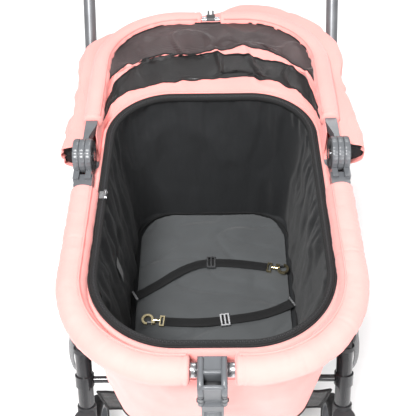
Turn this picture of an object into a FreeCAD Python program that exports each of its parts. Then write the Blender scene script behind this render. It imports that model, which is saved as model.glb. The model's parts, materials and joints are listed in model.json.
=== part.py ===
import FreeCAD, Part
import math
import os

# Pet stroller: an open pet bed with a fold-back hood, clipped on a folding four-wheel frame.
# Millimetres. +X is the pet's left-right, -Y is the front, +Y is the handle, +Z is up.
# Every piece is drawn about the hood's hinge axis (y = 0, z = 0) and moved to the
# ground frame when it is written: ground at z = 0, the length centred on y = 0.

V = FreeCAD.Vector
X_AXIS = V(1, 0, 0)
Z_AXIS = V(0, 0, 1)

# Driving dimensions
HINGE_HEIGHT = 720.0
LATCH_REACH = 446.0          # hinge axis to the front of the latch lever
GRIP_REACH = 665.0           # hinge axis to the back of the handle's grip
GROUND = -HINGE_HEIGHT
SHIFT = V(0, (LATCH_REACH - GRIP_REACH) / 2, HINGE_HEIGHT)
RUNNING = 0.05               # radial clearance of a pivot or wheel bore
GAP = 0.4                    # clearance between pieces that pass each other

# Rims of the bed and the hood's bow
RIM_HALF, RIM_REACH, RIM_Z, RIM_CORNER, RIM_R = 217.0, 404.0, -25.0, 160.0, 10.0
PAD_R, PAD_START, PAD_GAP = 22.5, -63.0, 24.0
REAR_HALF, REAR_REACH, REAR_Z, REAR_CORNER, REAR_R = 206.0, 208.0, -40.0, 125.0, 6.0
BOW_HALF, BOW_REACH, BOW_CORNER, BOW_R, SLEEVE_R = 216.0, 406.0, 155.0, 7.0, 17.0

# Bed: a tapered fabric body, half width, front and back ends at top and bottom
BED_TOP, BED_BOTTOM = -51.0, -360.0
SHELL_TOP = (206.0, -394.0, 214.0, 150.0, 128.0)
SHELL_FOOT = (174.0, -324.0, 172.0, 55.0, 50.0)
LINER_TOP = (190.0, -378.0, 197.0, 140.0, 118.0)
LINER_FOOT = (167.0, -316.0, 165.0, 50.0, 45.0)
LINER_EDGE, LINER_WALL = -32.0, 2.0
CUSHION_TOP, CUSHION_INSET, CUSHION_EDGE_R = -328.0, 4.0, 7.0
BOARD_THICK, WALL = 6.0, 3.0
ZIP_OUTER, ZIP_TAPE_W, ZIP_TOP, ZIP_UNDER = (188.0, -360.0, 193.0, 136.0, 114.0), 5.0, -28.5, -31.5
SLIDER_Y, PULL_X, PULL_Z, PULL_PIN_R = -70.0, -180.5, -20.5, 1.2

# Folded hood: outer and inner outlines of the cloth outside the bow
HOOD_OUTER = (272.0, -40.0, 456.0, 30.0, 200.0)
HOOD_INNER = (236.0, -60.0, 427.0, 30.0, 172.0)
HOOD_UNDER, HOOD_TOP, HOOD_START = -54.0, -6.0, 48.0

# Latch: half width of the housing, of its window and of the lever
LATCH_HALF, LATCH_WINDOW, LEVER_HALF, LATCH_PIN_R = 21.0, 12.0, 15.8, 2.0

# Clip of the bed on the frame: the tongue's sides and the heights of its parts
TONGUE_IN, TONGUE_OUT, TONGUE_HALF, TONGUE_LOW = 225.0, 236.0, 13.0, -116.0
SOCKET_LOW, SOCKET_TOP, BUTTON_Z, BUTTON_R = -132.0, -72.0, -98.0, 7.0
SADDLE_AT = 172.0            # upright's foot, from the front pivot along the beam

# Hood hinge: three plates of one thickness on each side
DISC_R, PLATE, PLATE_GAP, DISC_X, HINGE_PIN_R = 29.0, 10.0, 0.5, 222.0, 5.0

# Folding frame, side view (y, z)
FRAME_X, BEAM_R, LEG_R, TUBE_WALL, PIVOT_R = 258.0, 11.0, 16.0, 2.0, 4.0
FRONT_PIVOT = (-150.0, -335.0)
HANDLE_PIVOT = (365.0, -83.0)
BEAM_WAY = V(0, HANDLE_PIVOT[0] - FRONT_PIVOT[0], HANDLE_PIVOT[1] - FRONT_PIVOT[1]).normalize()
REAR_PIVOT = (155.0, FRONT_PIVOT[1] + (155.0 - FRONT_PIVOT[0]) * BEAM_WAY.z / BEAM_WAY.y)
LINK_FRONT = (-140.0, -290.0)
LINK_REAR = (181.6, -239.8)
LEG_FOOT = (-248.0, -505.0)
LEG_INSET = 14.0             # the leg tube stops short of its foot, inside the caster housing
REAR_LEG_X, REAR_LEG_R = FRAME_X - 31.0, 10.0
REAR_AXLE = (360.0, GROUND + 120.0)
CROSS_FRONT = (-135.5, -374.0)
REAR_BRACE_AT = 435.0        # rear cross tube, from the front pivot along the beam
LINK_X, LINK_THICK = FRAME_X - 17.0, 3.0

# Wheels
FRONT_WHEEL_R, FRONT_WHEEL_W, CASTER_Y, CASTER_TRAIL = 88.0, 34.0, -262.0, 35.0
REAR_WHEEL_R, REAR_WHEEL_W, REAR_WHEEL_X = 120.0, 36.0, 268.0
FRONT_AXLE = (CASTER_Y + CASTER_TRAIL, GROUND + FRONT_WHEEL_R)

# Handle
HANDLE_R, HANDLE_CORNER, GRIP_R = 12.5, 60.0, 17.0
HANDLE_TOP = (GRIP_REACH - GRIP_R, 280.0)
TRIGGER_AT, TRIGGER_LENGTH, TRIGGER_R = 150.0, 36.0, 18.0

# Storage basket
BASKET = (206.0, -120.0, 182.0, 30.0, 30.0)
BASKET_TAPER, BASKET_TOP, BASKET_LOW, BASKET_WALL = 14.0, -375.0, -500.0, 2.0
WIRE_X, WIRE_Z, WIRE_R = 212.0, -371.0, 4.0

# Tether straps: flat webbing on the cushion
STRAP_W, STRAP_T, STRAP_LIFT = 20.0, 2.4, 0.8
GATE_PIN = (22.4, 6.4)       # from the end of the strap
STRAP_LEFT = [(-155, -71), (-118, -49), (-70, -9), (-22, 12), (24, 12), (73, 7), (112, -1)]
STRAP_RIGHT = [(155, -91), (128, -107), (86, -120), (42, -127), (-5, -133), (-52, -135), (-96, -131)]


def box(x0, x1, y0, y1, z0, z1):
    return Part.makeBox(x1 - x0, y1 - y0, z1 - z0, V(x0, y0, z0))


def rod(start, end, radius):
    span = end - start
    return Part.makeCylinder(radius, span.Length, start, span)


def pipe(start, end, radius, wall):
    return rod(start, end, radius).cut(rod(start, end, radius - wall))


def disc(x0, x1, yz, radius):
    return Part.makeCylinder(radius, x1 - x0, V(x0, yz[0], yz[1]), X_AXIS)


def fuse(first, *others):
    return first.fuse(list(others)).removeSplitter()


def mirrored(shape):
    return shape.mirror(V(0, 0, 0), X_AXIS)


def pair(*shapes):
    """The right-hand solids and their mirror images, as separate solids of one node."""
    return Part.makeCompound(list(shapes) + [mirrored(shape) for shape in shapes])


def turned(shape, yz, degrees):
    copy = shape.copy()
    copy.rotate(V(0, yz[0], yz[1]), X_AXIS, degrees)
    return copy


def along(start, end, distance):
    """The point (y, z) at a distance from start towards end."""
    length = math.hypot(end[0] - start[0], end[1] - start[1])
    share = distance / length
    return (start[0] + share * (end[0] - start[0]), start[1] + share * (end[1] - start[1]))


def at(x, yz):
    return V(x, yz[0], yz[1])


def export(name, shape):
    placed = shape.copy()
    placed.translate(SHIFT)
    placed.exportStep("parts/" + name + ".step")


def corner(centre, radius, first, last):
    """An arc in a level plane between two angles in degrees."""
    points = [centre + V(math.cos(math.radians(a)), math.sin(math.radians(a)), 0) * radius
              for a in (first, (first + last) / 2, last)]
    return Part.Arc(*points).toShape()


def half_u(half, start, reach, radius, z, gap):
    """Right half of a level U: from the open end round the corner to the middle."""
    toward = math.copysign(1, reach)
    bend = reach - toward * radius
    edges = [Part.makeLine(V(half, start, z), V(half, bend, z)),
             corner(V(half - radius, bend, z), radius, 0, toward * 90)]
    return edges + [Part.makeLine(V(half - radius, reach, z), V(gap, reach, z))]


def whole_u(half, start, reach, radius, z):
    toward = math.copysign(1, reach)
    bend = reach - toward * radius
    right, left = V(half - radius, bend, z), V(radius - half, bend, z)
    return [Part.makeLine(V(half, start, z), V(half, bend, z)),
            corner(right, radius, 0, toward * 90),
            Part.makeLine(V(half - radius, reach, z), V(radius - half, reach, z)),
            corner(left, radius, toward * 90, toward * 180),
            Part.makeLine(V(-half, bend, z), V(-half, start, z))]


def sweep(edges, radius, bore=0.0):
    """A round bar, or a tube when it has a bore, along a chain of tangent edges."""
    path = Part.Wire(edges)
    start = edges[0].valueAt(edges[0].FirstParameter)
    direction = edges[0].tangentAt(edges[0].FirstParameter)

    def solid(size):
        ring = Part.Wire([Part.makeCircle(size, start, direction)])
        return path.makePipeShell([ring], True, False)

    return solid(radius).cut(solid(bore)) if bore else solid(radius)


def outline(sizes, z):
    """A closed level outline: half width, front end, back end and the two corner radii."""
    half, front, back, front_r, back_r = sizes
    return Part.Wire([
        Part.makeLine(V(half, front + front_r, z), V(half, back - back_r, z)),
        corner(V(half - back_r, back - back_r, z), back_r, 0, 90),
        Part.makeLine(V(half - back_r, back, z), V(back_r - half, back, z)),
        corner(V(back_r - half, back - back_r, z), back_r, 90, 180),
        Part.makeLine(V(-half, back - back_r, z), V(-half, front + front_r, z)),
        corner(V(front_r - half, front + front_r, z), front_r, 180, 270),
        Part.makeLine(V(front_r - half, front, z), V(half - front_r, front, z)),
        corner(V(half - front_r, front + front_r, z), front_r, 270, 360)])


def shrunk(sizes, by):
    half, front, back, front_r, back_r = sizes
    return (half - by, front + by, back - by, front_r - by, back_r - by)


def tub(top, foot, z_top, z_foot, wall):
    """An open tapered tub with one wall thickness at the sides and the floor."""
    outer = Part.makeLoft([outline(foot, z_foot), outline(top, z_top)], True, True)
    inner = Part.makeLoft([outline(shrunk(foot, wall), z_foot + wall),
                           outline(shrunk(top, wall), z_top + 0.01)], True, True)
    return outer.cut(inner)


def slab(sizes, z0, z1):
    return Part.Face(outline(sizes, z0)).extrude(V(0, 0, z1 - z0))


# The bed

def rim_tubes():
    front = sweep(whole_u(RIM_HALF, -34.0, -RIM_REACH, RIM_CORNER, RIM_Z), RIM_R, RIM_R - 1.5)
    rear = sweep(whole_u(REAR_HALF, -12.0, REAR_REACH, REAR_CORNER, REAR_Z), REAR_R, REAR_R - 1.2)
    export("rim_tube_front", front)
    export("rim_tube_rear", rear)


def rim_pad():
    edges = half_u(RIM_HALF, PAD_START, -RIM_REACH, RIM_CORNER, RIM_Z, PAD_GAP)
    export("rim_pad", pair(sweep(edges, PAD_R, RIM_R + 0.2)))


def bed_fabric():
    export("bed_shell", tub(SHELL_TOP, SHELL_FOOT, BED_TOP, BED_BOTTOM, WALL))
    floor = BED_BOTTOM + WALL + GAP
    board = shrunk(SHELL_FOOT, WALL + 4)
    export("base_board", slab(board, floor, floor + BOARD_THICK))
    liner_floor = floor + BOARD_THICK + GAP
    export("bed_liner", tub(LINER_TOP, LINER_FOOT, LINER_EDGE, liner_floor, LINER_WALL))
    cushion = slab(shrunk(LINER_FOOT, CUSHION_INSET), liner_floor + LINER_WALL + GAP, CUSHION_TOP)
    rims = [edge for edge in cushion.Edges if abs(edge.CenterOfMass.z - CUSHION_TOP) < 0.01]
    export("floor_cushion", cushion.makeFillet(CUSHION_EDGE_R, rims))


def zipper_tape():
    """The zip that joins the mesh to the bed, a band just inside the rims."""
    outer = slab(ZIP_OUTER, ZIP_UNDER, ZIP_TOP)
    inner = slab(shrunk(ZIP_OUTER, ZIP_TAPE_W), ZIP_UNDER - 1, ZIP_TOP + 1)
    export("zipper_tape", outer.cut(inner))


def zip_pull_pieces():
    """Slider on the tape's left side, and the pull that hinges on its loop."""
    y, pin_x, pin_z, pin_r = SLIDER_Y, PULL_X, PULL_Z, PULL_PIN_R
    body = box(-191.5, -178.0, y - 8, y + 8, -28.2, -24.2)
    loops = [box(pin_x - 2.2, pin_x + 2.2, y0, y0 + 3, -24.2, -18.0) for y0 in (y - 6, y + 3)]
    pin = Part.makeCylinder(pin_r, 6.4, V(pin_x, y - 3.2, pin_z), V(0, 1, 0))
    notch = box(-183.6, -177.0, y - 3, y + 3, -29, -23)
    export("zip_slider", fuse(body.cut(notch), pin, *loops))
    eye = Part.makeCylinder(2.4, 5.0, V(pin_x, y - 2.5, pin_z), V(0, 1, 0))
    tongue = box(pin_x - 0.8, pin_x + 0.8, y - 2.5, y + 2.5, -48.0, pin_z - 1.6)
    bore = Part.makeCylinder(pin_r + RUNNING, 5.2, V(pin_x, y - 2.6, pin_z), V(0, 1, 0))
    export("zip_pull", fuse(eye, tongue).cut(bore))


def route(points, z):
    """Straight runs joined by tangent arcs, each as large as its two runs allow."""
    corners = [V(x, y, z) for x, y in points]
    edges, start = [], corners[0]
    for before, here, after in zip(corners, corners[1:], corners[2:]):
        back, ahead = before - here, after - here
        turn = math.pi - back.getAngle(ahead)
        trim = 0.45 * min(back.Length, ahead.Length)
        radius = trim / math.tan(turn / 2)
        entry = here + back.normalize() * trim
        leave = here + ahead.normalize() * trim
        inward = (back + ahead).normalize()
        middle = here + inward * (math.hypot(trim, radius) - radius)
        edges += [Part.makeLine(start, entry), Part.Arc(entry, middle, leave).toShape()]
        start = leave
    edges.append(Part.makeLine(start, corners[-1]))
    return edges


def webbing(points):
    z = CUSHION_TOP + STRAP_LIFT + STRAP_T / 2
    edges = route(points, z)
    start = V(points[0][0], points[0][1], z)
    direction = edges[0].tangentAt(edges[0].FirstParameter)
    side = direction.cross(Z_AXIS) * (STRAP_W / 2)
    up = V(0, 0, STRAP_T / 2)
    loop = [start + side + up, start + side - up, start - side - up, start - side + up]
    section = Part.makePolygon(loop + [loop[0]])
    return Part.Wire(edges).makePipeShell([section], True, False)


def ring_plate(x0, x1, y0, y1, z0, z1, wall):
    return box(x0, x1, y0, y1, z0, z1).cut(
        box(x0 + wall, x1 - wall, y0 + wall, y1 - wall, z0 - 1, z1 + 1))


def on_strap(shape, points, reach=0.0):
    """Place a shape drawn along +X at the strap's far end, on its last run."""
    (x0, y0), (x1, y1) = points[-2], points[-1]
    copy = shape.copy()
    copy.rotate(V(0, 0, 0), Z_AXIS, math.degrees(math.atan2(y1 - y0, x1 - x0)))
    run = math.hypot(x1 - x0, y1 - y0)
    copy.translate(V(x1 + (x1 - x0) / run * reach, y1 + (y1 - y0) / run * reach, CUSHION_TOP))
    return copy


def snap_hook():
    """Swivel eye, neck and open hook; the mouth is closed by the gate."""
    eye = ring_plate(0.0, 9.3, -11.5, 11.5, 0.4, 4.4, 2.4)
    neck = Part.makeCylinder(3.0, 8.0, V(9.0, 0, 4.0), X_AXIS)
    body = Part.makeCylinder(4.0, 6.0, V(16.0, 0, 4.2), X_AXIS)
    outer = Part.makeCylinder(12.0, 5.0, V(33.0, 0, 1.8), Z_AXIS)
    hollow = Part.makeCylinder(7.5, 6.0, V(33.0, 0, 1.3), Z_AXIS)
    mouth = box(19.5, 33.0, 3.0, 13.0, 1.3, 7.3)
    hook = outer.cut(hollow).cut(mouth)
    ears = [box(18.0, 24.8, 1.5, 8.8, z0, z0 + 1.1) for z0 in (1.2, 6.3)]
    pin = Part.makeCylinder(1.0, 6.0, V(*GATE_PIN, 1.3), Z_AXIS)
    return fuse(eye, neck, body, hook, pin, *ears)


def snap_gate():
    """Sprung gate across the hook's mouth, turning on a pin near the neck."""
    bar = box(22.9, 32.6, 5.0, 8.0, 2.6, 6.0)
    boss = Part.makeCylinder(2.2, 3.4, V(*GATE_PIN, 2.6), Z_AXIS)
    return fuse(bar, boss).cut(Part.makeCylinder(1.0 + RUNNING, 6.0, V(*GATE_PIN, 1.3), Z_AXIS))


def tethers():
    """Two webbing leashes: anchored at a wall, a length slider, a snap hook at the far end."""
    hardware = []
    for side, points in (("left", STRAP_LEFT), ("right", STRAP_RIGHT)):
        export("tether_strap_" + side, webbing(points))
        export("snap_gate_" + side, on_strap(snap_gate(), points))
        cheeks_y = [box(-9.0, 9.0, y0, y0 + 2.6, 0.3, 5.6) for y0 in (-13.5, 10.9)]
        bars = [box(x0, x0 + 3.0, -12, 12, 3.4, 5.6) for x0 in (-9.0, -1.5, 6.0)]
        hardware.append(on_strap(fuse(*cheeks_y, *bars), points[:5], -28.0))
        anchor = box(0.0, 4.5, -11.5, 11.5, 0.3, 7.0)
        hardware.append(on_strap(anchor, points[1::-1]))
    export("snap_hooks", Part.makeCompound([on_strap(snap_hook(), points)
                                            for points in (STRAP_LEFT, STRAP_RIGHT)]))
    export("strap_hardware", Part.makeCompound(hardware))


# Hood

def hinge_layers():
    """x ranges of the inner, middle and outer plate of the right-hand hinge."""
    step = PLATE + PLATE_GAP
    middle = DISC_X - PLATE / 2
    return [(middle + step * n, middle + step * n + PLATE) for n in (-1, 0, 1)]


def hinge_plates():
    inner, middle, outer = hinge_layers()
    clamp = box(inner[0] - 2, outer[1] - 2, -61, -34, RIM_Z - 15, RIM_Z + 14)
    pieces = []
    for x0, x1 in (inner, outer):
        pieces.append(disc(x0, x1, (0, 0), DISC_R))
        pieces.append(box(x0, x1, -48, -4, RIM_Z - 13, -6))
        pieces.append(box(x0, x1, -12, 12, -56, -6))
    socket = box(inner[0] - 9, inner[0] + 3, -14, 16, REAR_Z - 10, REAR_Z + 10)
    body = fuse(clamp, socket, *pieces)
    body = body.cut(Part.makeCylinder(RIM_R, 40, V(RIM_HALF, -30, RIM_Z), V(0, -1, 0)))
    body = body.cut(Part.makeCylinder(REAR_R, 40, V(REAR_HALF, -12, REAR_Z), V(0, 1, 0)))
    body = body.cut(disc(inner[0] - 1, outer[1] + 1, (0, 0), HINGE_PIN_R))
    export("hinge_plates", pair(body))
    pin = disc(inner[0] - 2.5, outer[1] + 1, (0, 0), HINGE_PIN_R)
    cap = disc(inner[0] - 3, inner[0], (0, 0), 9.0)
    export("hinge_pins", pair(fuse(pin, cap)))


def bow():
    inner, middle, outer = hinge_layers()
    blade = Part.makePolygon([V(middle[0], 20, 0), V(middle[1], 20, 0), V(middle[1], 84, 0),
                              V(206, 84, 0), V(206, 74, 0), V(middle[0], 42, 0),
                              V(middle[0], 20, 0)])
    arm = Part.Face(blade).extrude(V(0, 0, 15))
    arm.translate(V(0, 0, -7.5))
    arm = fuse(arm, disc(middle[0], middle[1], (0, 0), DISC_R))
    arm = arm.cut(disc(middle[0] - 1, middle[1] + 1, (0, 0), HINGE_PIN_R + RUNNING))
    arm = arm.cut(Part.makeCylinder(BOW_R, 20, V(BOW_HALF, 70, 0), V(0, 1, 0)))
    export("bow_arms", pair(arm))
    export("bow_tube", sweep(whole_u(BOW_HALF, 70.0, BOW_REACH, BOW_CORNER, 0), BOW_R, BOW_R - 1.2))
    edges = half_u(BOW_HALF, 85.0, BOW_REACH, BOW_CORNER, 0, 10.0)
    export("bow_sleeve", pair(sweep(edges, SLEEVE_R, BOW_R + 0.2)))
    collar = Part.makeCylinder(11.0, 18.0, V(-9, BOW_REACH, 0), X_AXIS)
    prong = box(3.0, 6.5, BOW_REACH + 8, BOW_REACH + 30, -3, 3)
    catch = fuse(collar, prong, mirrored(prong))
    export("bow_catch", catch.cut(Part.makeCylinder(BOW_R, 20, V(-10, BOW_REACH, 0), X_AXIS)))


def hood_bundle():
    """The folded hood: a thick U of fabric outside and behind the bow."""
    outer = slab(HOOD_OUTER, HOOD_UNDER, HOOD_TOP)
    inner = slab(HOOD_INNER, HOOD_UNDER - 1, HOOD_TOP + 1)
    front_cut = box(-310, 310, -70, HOOD_START, HOOD_UNDER - 1, HOOD_TOP + 1)
    export("hood_bundle", outer.cut(inner).cut(front_cut))


# Latch at the middle of the front rim

def latch():
    y = -RIM_REACH
    clamp = box(-LATCH_HALF, LATCH_HALF, y - 14, y + 14, RIM_Z - 15, RIM_Z + 13)
    frame = box(-LATCH_HALF, LATCH_HALF, y - 36, y - 13, RIM_Z - 36, RIM_Z + 13)
    window = box(-LATCH_WINDOW, LATCH_WINDOW, y - 31, y - 15, RIM_Z - 22, RIM_Z + 14)
    slot = box(-LEVER_HALF - 0.7, LEVER_HALF + 0.7, y - 37, y - 25, RIM_Z - 37, RIM_Z - 23.5)
    rim_hole = Part.makeCylinder(RIM_R, 50, V(-25, y, RIM_Z), X_AXIS)
    axis = (y - 31, RIM_Z - 30)
    pin_hole = disc(-LATCH_HALF, LATCH_HALF, axis, LATCH_PIN_R)
    body = fuse(clamp, frame).cut(window).cut(rim_hole).cut(slot).cut(pin_hole)
    pin = disc(-LATCH_HALF + 0.5, LATCH_HALF - 0.5, axis, LATCH_PIN_R)
    export("latch_housing", Part.makeCompound([body, pin]))
    barrel = disc(-LEVER_HALF, LEVER_HALF, axis, 5.0)
    tab = box(-LEVER_HALF, LEVER_HALF, -LATCH_REACH, -LATCH_REACH + 4, RIM_Z - 62, RIM_Z - 32)
    web = box(-LEVER_HALF, LEVER_HALF, -LATCH_REACH, axis[0], RIM_Z - 35, RIM_Z - 29)
    bore = disc(-LATCH_HALF, LATCH_HALF, axis, LATCH_PIN_R + RUNNING)
    export("latch_lever", fuse(barrel, tab, web).cut(bore))


# How the bed clips on the frame

def clips():
    """Tongues under the hinges drop into sockets on the frame's uprights."""
    block = box(213.0, 238.0, -17, 17, -68.0, -56.0)
    tongue = box(TONGUE_IN, TONGUE_OUT, -TONGUE_HALF, TONGUE_HALF, TONGUE_LOW, -67.0)
    export("bed_tongues", pair(fuse(block, tongue)))
    head = box(TONGUE_IN - 11, TONGUE_OUT + 11, -24, 24, SOCKET_LOW, SOCKET_TOP)
    pocket = box(TONGUE_IN - 0.5, TONGUE_OUT + 0.5, -TONGUE_HALF - 0.5, TONGUE_HALF + 0.5,
                 TONGUE_LOW - 4, SOCKET_TOP + 1)
    button_bore = disc(240.0, 248.0, (0, BUTTON_Z), BUTTON_R + 0.3)
    neck = rod(V(232, 0, SOCKET_LOW + 4), V(FRAME_X - 2, 5, -256), 8.0)
    middle = at(FRAME_X, along(FRONT_PIVOT, HANDLE_PIVOT, SADDLE_AT))
    saddle = rod(middle - BEAM_WAY * 22, middle + BEAM_WAY * 22, 14.0)
    upright = fuse(head.cut(pocket).cut(button_bore), neck, saddle)
    upright = upright.cut(rod(middle - BEAM_WAY * 60, middle + BEAM_WAY * 60, BEAM_R))
    export("bed_sockets", pair(upright))
    button = disc(244.0, 253.0, (0, BUTTON_Z), BUTTON_R)
    export("release_button_right", button)
    export("release_button_left", mirrored(button))


# Folding frame

def cheeks(yz, radius, inner, outer):
    """Two plates on one pivot: each runs from the inner to the outer offset."""
    return [disc(FRAME_X + outer, FRAME_X + inner, yz, radius),
            disc(FRAME_X - inner, FRAME_X - outer, yz, radius)]


def side_beams():
    start = along(FRONT_PIVOT, HANDLE_PIVOT, 34.0)
    end = along(HANDLE_PIVOT, FRONT_PIVOT, 36.0)
    beam = pipe(at(FRAME_X, start), at(FRAME_X, end), BEAM_R, TUBE_WALL)
    beam = beam.cut(disc(FRAME_X - 30, FRAME_X + 30, REAR_PIVOT, PIVOT_R))
    export("side_beams", pair(beam))


def beam_socket(near, far):
    """A sleeve over the beam's end with a fork that reaches the pivot."""
    body = rod(at(FRAME_X, along(near, far, 26.0)), at(FRAME_X, along(near, far, 62.0)), 14.6)
    bore = rod(at(FRAME_X, along(near, far, 34.0)), at(FRAME_X, along(near, far, 80.0)), BEAM_R)
    return body, bore


def fork_arms(near, far, inner, outer, width):
    """Straight cheek extensions from a pivot to the sleeve that holds the beam."""
    angle = math.degrees(math.atan2(far[1] - near[1], far[0] - near[0]))
    arms = []
    for x0 in (FRAME_X + outer, FRAME_X - inner):
        arm = box(x0, x0 + inner - outer, near[0], near[0] + 44.0,
                  near[1] - width / 2, near[1] + width / 2)
        arms.append(turned(arm, near, angle))
    return arms


def fold_hubs():
    body, bore = beam_socket(FRONT_PIVOT, HANDLE_PIVOT)
    arms = fork_arms(FRONT_PIVOT, HANDLE_PIVOT, 14.6, 10.4, 26.0)
    lug_in, lug_out = FRAME_X - 29.0, FRAME_X - 18.5
    lug = box(lug_in, lug_out, -150, -121, -389, -333)
    bridge = disc(lug_in, FRAME_X - 10.4, FRONT_PIVOT, 13.5)
    hub = fuse(body, lug, bridge, *(cheeks(FRONT_PIVOT, 23.0, 14.6, 10.4) + arms)).cut(bore)
    hub = hub.cut(disc(lug_in - 1, lug_out + 1, CROSS_FRONT, 9.0))
    hub = hub.cut(disc(lug_in - 1, FRAME_X + 30, FRONT_PIVOT, PIVOT_R))
    export("fold_hubs", pair(hub))


def handle_hubs():
    body, bore = beam_socket(HANDLE_PIVOT, FRONT_PIVOT)
    arms = fork_arms(HANDLE_PIVOT, FRONT_PIVOT, 14.6, 9.4, 28.0)
    hub = fuse(body, *(cheeks(HANDLE_PIVOT, 25.0, 14.6, 9.4) + arms)).cut(bore)
    hub = hub.cut(disc(235, 290, HANDLE_PIVOT, PIVOT_R))
    export("handle_hubs", pair(hub))


def cross_tubes():
    tubes = []
    for yz, half in ((CROSS_FRONT, FRAME_X - 18.5),
                     (along(FRONT_PIVOT, HANDLE_PIVOT, REAR_BRACE_AT), FRAME_X - 11.5)):
        tubes.append(disc(-half, half, yz, 9.0).cut(disc(-half - 1, half + 1, yz, 7.5)))
    export("cross_tubes", Part.makeCompound(tubes))


def rear_pivot_mounts():
    """Collars on the beams that carry the rear legs' pivots and the rear cross tube."""

    def collar(distance, reach, boss_r):
        middle = along(FRONT_PIVOT, HANDLE_PIVOT, distance)
        centre = at(FRAME_X, middle)
        sleeve = rod(centre - BEAM_WAY * reach, centre + BEAM_WAY * reach, 14.0)
        boss = disc(FRAME_X - 20.0, FRAME_X, middle, boss_r)
        bore = rod(centre - BEAM_WAY * 60, centre + BEAM_WAY * 60, BEAM_R)
        return fuse(sleeve, boss).cut(bore), middle

    pivot, middle = collar(math.dist(FRONT_PIVOT, REAR_PIVOT), 20.0, 13.0)
    pivot = pivot.cut(disc(230, 290, middle, PIVOT_R))
    brace, middle = collar(REAR_BRACE_AT, 14.0, 13.0)
    brace = brace.cut(disc(230, FRAME_X - 11.5, middle, 9.0))
    export("rear_pivot_mounts", pair(pivot, brace))


def frame_bolts():
    """Pivot bolts with flat heads: front legs, rear legs and handle."""
    bolts = []
    for yz, x0, x1 in ((FRONT_PIVOT, FRAME_X - 31.5, FRAME_X + 18.0),
                       (HANDLE_PIVOT, FRAME_X - 17.5, FRAME_X + 18.0),
                       (REAR_PIVOT, REAR_LEG_X - 14.0, FRAME_X + 17.0)):
        shank = disc(x0, x1, yz, PIVOT_R)
        head = disc(x1 - 3.0, x1, yz, 8.0)
        nut = disc(x0, x0 + 2.5, yz, 7.0)
        bolts.append(fuse(shank, head, nut))
    export("frame_bolts", pair(*bolts))


def front_legs():
    top = along(FRONT_PIVOT, LEG_FOOT, 40.0)
    end = along(LEG_FOOT, FRONT_PIVOT, LEG_INSET)
    leg = pipe(at(FRAME_X, top), at(FRAME_X, end), LEG_R, TUBE_WALL)
    brace_at = along(FRONT_PIVOT, LEG_FOOT, 104.0)
    export("front_legs", pair(leg))
    angle = math.degrees(math.atan2(LEG_FOOT[1] - FRONT_PIVOT[1], LEG_FOOT[0] - FRONT_PIVOT[0]))
    blade = box(FRAME_X - 10.0, FRAME_X + 10.0, FRONT_PIVOT[0], FRONT_PIVOT[0] + 32.0,
                FRONT_PIVOT[1] - 14.0, FRONT_PIVOT[1] + 14.0)

    def stretch(near, far, radius):
        return rod(at(FRAME_X, along(FRONT_PIVOT, LEG_FOOT, near)),
                   at(FRAME_X, along(FRONT_PIVOT, LEG_FOOT, far)), radius)

    pieces = [turned(blade, FRONT_PIVOT, angle), stretch(31.0, 40.0, LEG_R + 1.5),
              stretch(39.0, 68.0, LEG_R - TUBE_WALL),
              disc(FRAME_X - 10.0, FRAME_X + 10.0, LINK_FRONT, 9.0),
              rod(at(FRAME_X, FRONT_PIVOT), at(FRAME_X, LINK_FRONT), 8.0),
              disc(LINK_X - 4.5, FRAME_X - 9.0, LINK_FRONT, 3.0),
              disc(LINK_X + LINK_THICK / 2 + GAP, FRAME_X - 9.0, LINK_FRONT, 6.0)]
    head = fuse(disc(FRAME_X - 10.0, FRAME_X + 10.0, FRONT_PIVOT, 19.0), *pieces)
    head = head.cut(disc(FRAME_X - 30, FRAME_X + 30, FRONT_PIVOT, PIVOT_R + RUNNING))
    export("leg_heads", pair(head))
    collars = stretch(92.0, 116.0, LEG_R + 3.0).cut(stretch(80.0, 130.0, LEG_R))
    reach = FRAME_X - LEG_R - 3.0
    brace = disc(-reach, reach, brace_at, 7.0).cut(collars).cut(mirrored(collars))
    export("leg_brace", Part.makeCompound([brace, collars, mirrored(collars)]))


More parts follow.
